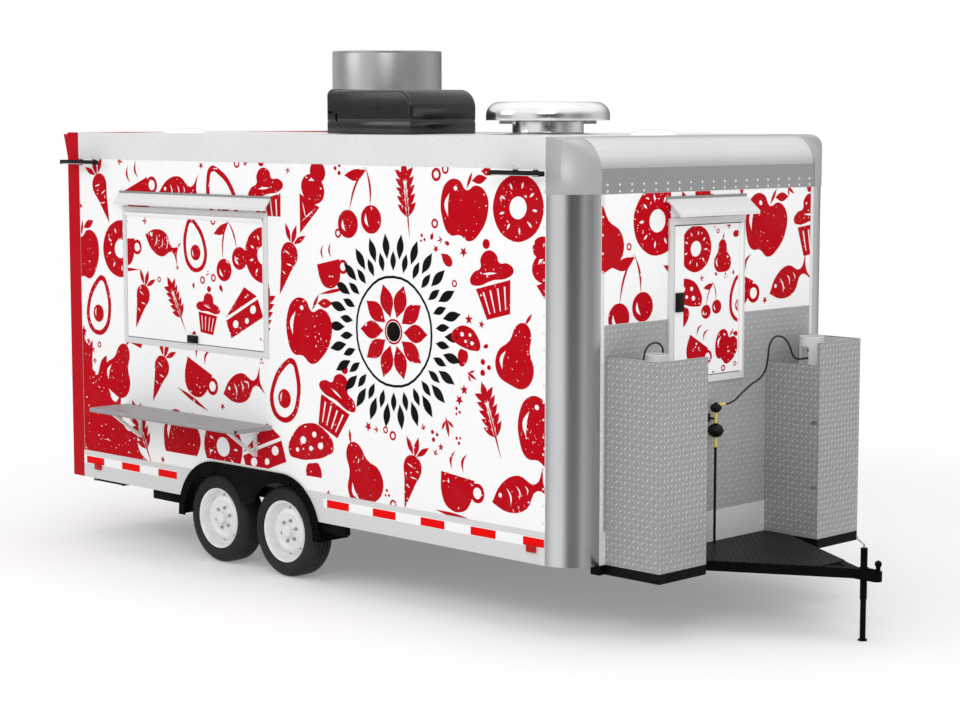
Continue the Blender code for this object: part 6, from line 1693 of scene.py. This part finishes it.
def filled(outlines):
    """Flat curves, filled between one another, as a mesh with the print's thickness."""
    rings = []
    for outline in outlines:
        deselect()
        bpy.ops.curve.primitive_bezier_circle_add(radius=0.1)
        ring = bpy.context.object
        ring.data.dimensions = "2D"
        ring.data.resolution_u = 4
        if len(outline) < 4:
            mode("EDIT")
            bpy.ops.curve.select_all(action="DESELECT")
            ring.data.splines[0].bezier_points[3].select_control_point = True
            bpy.ops.curve.delete(type="VERT")
            mode("OBJECT")
        line = ring.data.splines[0]
        if len(outline) > 4:
            line.bezier_points.add(len(outline) - 4)
        for point, place in zip(line.bezier_points, outline):
            point.co = (place[0], place[1], 0.0)
            kind = "VECTOR" if len(place) == 3 else "AUTO"
            point.handle_left_type = kind
            point.handle_right_type = kind
        line.use_cyclic_u = True
        rings.append(ring)
    made = joined(rings)
    pick(made)
    made.data.fill_mode = "BOTH"
    made.data.extrude = 0.5
    bpy.ops.object.convert(target="MESH")
    edit_all()
    return seal(0.0004)


def stamp(outlines):
    """One motif: each body filled by itself, all joined."""
    bodies = []
    for number, group in enumerate(grouped(outlines)):
        bodies.append(moved(filled(group), Matrix.Translation((0.0, 0.0, number * BODY_LIFT))))
    return joined(bodies)


def wreath():
    """The large ornament amid a long wall: black leaves round a red flower."""
    black = petals(26, 0.37, 0.5, 0.05) + petals(26, 0.31, 0.41, 0.04, math.pi / 26)
    black += [oval(0.0, 0.0, radius, radius) for radius in (0.285, 0.272, 0.05)]
    red = petals(10, 0.075, 0.25, 0.095)
    red += [oval(0.0, 0.0, radius, radius) for radius in (0.065, 0.055)]
    return stamp(black), stamp(red)


# The wave at a long wall's lower rear corner, in shares of its size; a third number is a corner
WAVE = [
    (-0.5, -0.5, 1), (-0.5, 0.5, 1), (-0.42, 0.3), (-0.34, 0.34, 1), (-0.3, 0.08), (-0.2, 0.2),
    (-0.12, 0.24, 1),
    (-0.1, 0.0), (0.0, -0.1), (0.1, -0.02, 1), (0.1, -0.2), (0.2, -0.3), (0.34, -0.26, 1), (0.36, -0.42),
    (0.5, -0.5, 1),
]
# Circles over the wave that no motif enters: places from the wall's lower rear corner, and radii
WAVE_ROOM = (
    (0.1, 0.1, 0.16), (0.1, 0.3, 0.12), (0.28, 0.1, 0.14), (0.45, 0.03, 0.1), (0.06, 0.5, 0.06),
)


def clear_of(place, size, taken, room):
    return all(math.dist(place, other[:2]) > (size + other[2]) * room for other in taken)


def scattered(low, high, seed, taken, pitch):
    """Places for motifs: staggered rows with small ones between them, each kind in turn."""
    draw = random.Random(seed)
    big, small = list(MOTIFS[0]), list(MOTIFS[1])
    draw.shuffle(big)
    places = []
    rows = max(1, round((high[1] - low[1]) / pitch))
    columns = max(1, round((high[0] - low[0]) / pitch))
    rise = (high[1] - low[1]) / rows
    stride = (high[0] - low[0]) / columns
    for row in range(rows):
        for column in range(columns + row % 2):
            u = low[0] + (column + (0.0 if row % 2 else 0.5)) * stride + draw.uniform(-0.03, 0.03)
            v = low[1] + (row + 0.5) * rise + draw.uniform(-0.025, 0.025)
            size = draw.uniform(1.0, 1.12) * pitch
            for share in (1.0, 0.75, 0.55):
                if clear_of((u, v), size * share / 2, taken, 0.82):
                    kind = big[(row * 5 + column) % len(big)]
                    places.append((kind, u, v, size * share, draw.uniform(-0.5, 0.5)))
                    taken.append((u, v, size * share / 2))
                    break
    for _ in range(int(SPRINKLES * (high[0] - low[0]) * (high[1] - low[1]))):
        u, v = draw.uniform(low[0], high[0]), draw.uniform(low[1], high[1])
        size = draw.choice((0.3, 0.22, 0.16, 0.12)) * pitch
        if clear_of((u, v), size / 2, taken, 0.98):
            places.append((draw.choice(small), u, v, size, draw.uniform(0.0, TAU)))
            taken.append((u, v, size / 2))
    return places


def trimmed(obj, low, high, holes):
    """Cuts a flat print at its sheet's edges and round the openings in it."""
    pick(obj)
    edit_all()
    for index, limit, sense in ((0, low[0], -1), (0, high[0], 1), (1, low[1], -1), (1, high[1], 1)):
        ends = [vert.co[index] * sense for vert in obj.data.vertices]
        if max(ends) > limit * sense:
            select_whole()
            point = [limit if axis == index else 0.0 for axis in range(3)]
            normal = [float(sense) if axis == index else 0.0 for axis in range(3)]
            bpy.ops.mesh.bisect(plane_co=point, plane_no=normal, use_fill=True, clear_outer=True)
    mode("OBJECT")
    for lower, upper in holes:
        spots = [vert.co for vert in obj.data.vertices]
        if not spots:
            break
        least = [min(spot[axis] for spot in spots) for axis in (0, 1)]
        most = [max(spot[axis] for spot in spots) for axis in (0, 1)]
        if any(most[axis] < lower[axis] or least[axis] > upper[axis] for axis in (0, 1)):
            continue
        kept = [(lower[axis] - least[axis], axis, lower[axis], 1.0) for axis in (0, 1)]
        kept += [(most[axis] - upper[axis], axis, upper[axis], -1.0) for axis in (0, 1)]
        reach, axis, limit, sense = max(kept)
        pick(obj)
        edit_all()
        if reach < 0.01:
            bpy.ops.mesh.delete(type="VERT")
        else:
            point, normal = [0.0, 0.0, 0.0], [0.0, 0.0, 0.0]
            point[axis], normal[axis] = limit, sense
            bpy.ops.mesh.bisect(plane_co=point, plane_no=normal, use_fill=True, clear_outer=True)
        mode("OBJECT")
    return obj


def printed(name, place, low, high, seed, taken=(), holes=(), extra=(), pitch=0.45, body=ROOT):
    """All the red print of one sheet as one mesh, trimmed and laid on it by the matrix."""
    pieces = [(obj, None) for obj in extra]
    spots = scattered(low, high, seed, list(taken), pitch)
    for number, (kind, u, v, size, turn) in enumerate(spots):
        matrix = Matrix.Translation((u, v, number % 7 * PRINT_LIFT)) @ Matrix.Rotation(turn, 4, "Z")
        pieces.append((STAMPS[kind], matrix @ Matrix.Diagonal((size, size, INK, 1.0))))
    made = []
    for obj, matrix in pieces:
        made.append(trimmed(moved(duplicate(obj), matrix) if matrix else obj, low, high, holes))
    whole = joined([obj for obj in made if len(obj.data.vertices)])
    for obj in list(bpy.data.objects):
        if obj.type == "MESH" and not len(obj.data.vertices):
            bpy.data.objects.remove(obj, do_unlink=True)
    completed(moved(whole, place), name, "red_ink", 20, body=body)


def sheet_place(x, y, turn):
    """Lays X to the right and Y upwards on an upright sheet that faces the turn's way."""
    upright = Matrix.Rotation(math.pi / 2, 4, "X")
    return Matrix.Translation((x, y, 0.0)) @ Matrix.Rotation(turn, 4, "Z") @ upright


def opening(low, high, axis):
    """The corners of what a hatch frame leaves open, along its wall's axis and up."""
    least = (low[axis] + FRAME_LAP, low[2] + FRAME_LAP)
    return least, (high[axis] - FRAME_LAP, high[2] - FRAME_LAP)


def wrap():
    """The print of both long walls, the front wall and the two hatch leaves."""
    proud = INK / 2 + PRINT_GAP
    right = sheet_place(0.0, -SIDE_Y - proud, 0.0)
    left = sheet_place(0.0, SIDE_Y + proud, math.pi)
    front = sheet_place(FRONT_X + proud, 0.0, math.pi / 2)
    arch_start = REAR_AXLE_X - FENDER_RADIUS - ARCH_ROOM
    arch_end = FRONT_AXLE_X + FENDER_RADIUS + ARCH_ROOM
    for word, place, sense, seed in (("right", right, 1, 11), ("left", left, -1, 23)):
        ends = sorted((sense * (WALL_START_X + END_MARGIN), sense * (WALL_END_X - END_MARGIN)))
        low, high = (ends[0], SKIRT_TOP + EDGE_MARGIN), (ends[1], RAIL_LOW - EDGE_MARGIN)
        middle = (sense * WREATH_PLACE[0], WREATH_PLACE[1])
        flip = Matrix.Diagonal((sense, 1.0, 1.0, 1.0))
        sizes = Matrix.Diagonal((WREATH_SIZE, WREATH_SIZE, INK, 1.0))
        at_middle = Matrix.Translation((*middle, 0.0)) @ sizes
        black, red = [moved(obj, at_middle) for obj in wreath()]
        wave_x = WALL_START_X + END_MARGIN + WAVE_SIZE[0] / 2
        wave_place = Matrix.Translation((wave_x, SKIRT_TOP + WAVE_SIZE[1] / 2, 0.0))
        wave = moved(stamp([WAVE]), flip @ wave_place @ Matrix.Diagonal((*WAVE_SIZE, INK, 1.0)))
        arch_ends = sorted((sense * arch_start, sense * arch_end))
        holes = [((arch_ends[0], 0.0), (arch_ends[1], ARCH_TOP))]
        taken = [(*middle, WREATH_SIZE * 0.5)]
        for u, v, radius in WAVE_ROOM:
            taken.append((sense * (WALL_START_X + u), SKIRT_TOP + v, radius))
        if sense > 0:
            holes.append(opening(*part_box("serving_hatch_frame"), 0))
        printed(f"wall_print_{word}", place, low, high, seed, taken, holes, (wave, red))
        completed(moved(black, place), f"wreath_{word}", "black_ink", 20)
    half = POST_Y - END_MARGIN
    low, high = (-half, PLATE_TOP + EDGE_MARGIN), (half, FLANGE_LOW - EDGE_MARGIN)
    printed("front_print", front, low, high, 5, holes=(opening(*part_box("front_hatch_frame"), 1),))
    low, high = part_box("serving_hatch_door")
    leaf = sheet_place(0.0, SERVING_LEAF_Y - proud, 0.0)
    inside = ((low[0] + 0.006, low[2] + 0.06), (high[0] - 0.006, high[2] - 0.03))
    printed("serving_leaf_print", leaf, *inside, 31, pitch=0.4, body="serving_hatch_door")
    low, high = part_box("front_hatch_door")
    leaf = sheet_place(FRONT_LEAF_X + proud, 0.0, math.pi / 2)
    inside = ((low[1] + 0.08, low[2] + 0.006), (high[1] - 0.03, high[2] - 0.006))
    printed("front_leaf_print", leaf, *inside, 47, pitch=0.3, body="front_hatch_door")
    for obj in STAMPS.values():
        bpy.data.objects.remove(obj, do_unlink=True)


MOTIFS = motifs()
STAMPS = {kind: stamp(shaped(items)) for group in MOTIFS for kind, items in group.items()}

camera()
gas_hose("hose_left", "gas_hose_left", LEFT_HOSE_ROUTE)
gas_hose("hose_right", "gas_hose_right", RIGHT_HOSE_ROUTE)
studio()
carried_nodes()
front_corners()
front_top_rail()
exhaust_band()
ventilator()
air_conditioner()
wheels()
fenders()
wrap()
front_trim()
rivets()
tapes()
cap_seals()
latches()
flood_lights()
regulators()
gas_bottles()
box_edges()
tongue()
shelf_trim()
rear_trim()
suspension()

deselect()
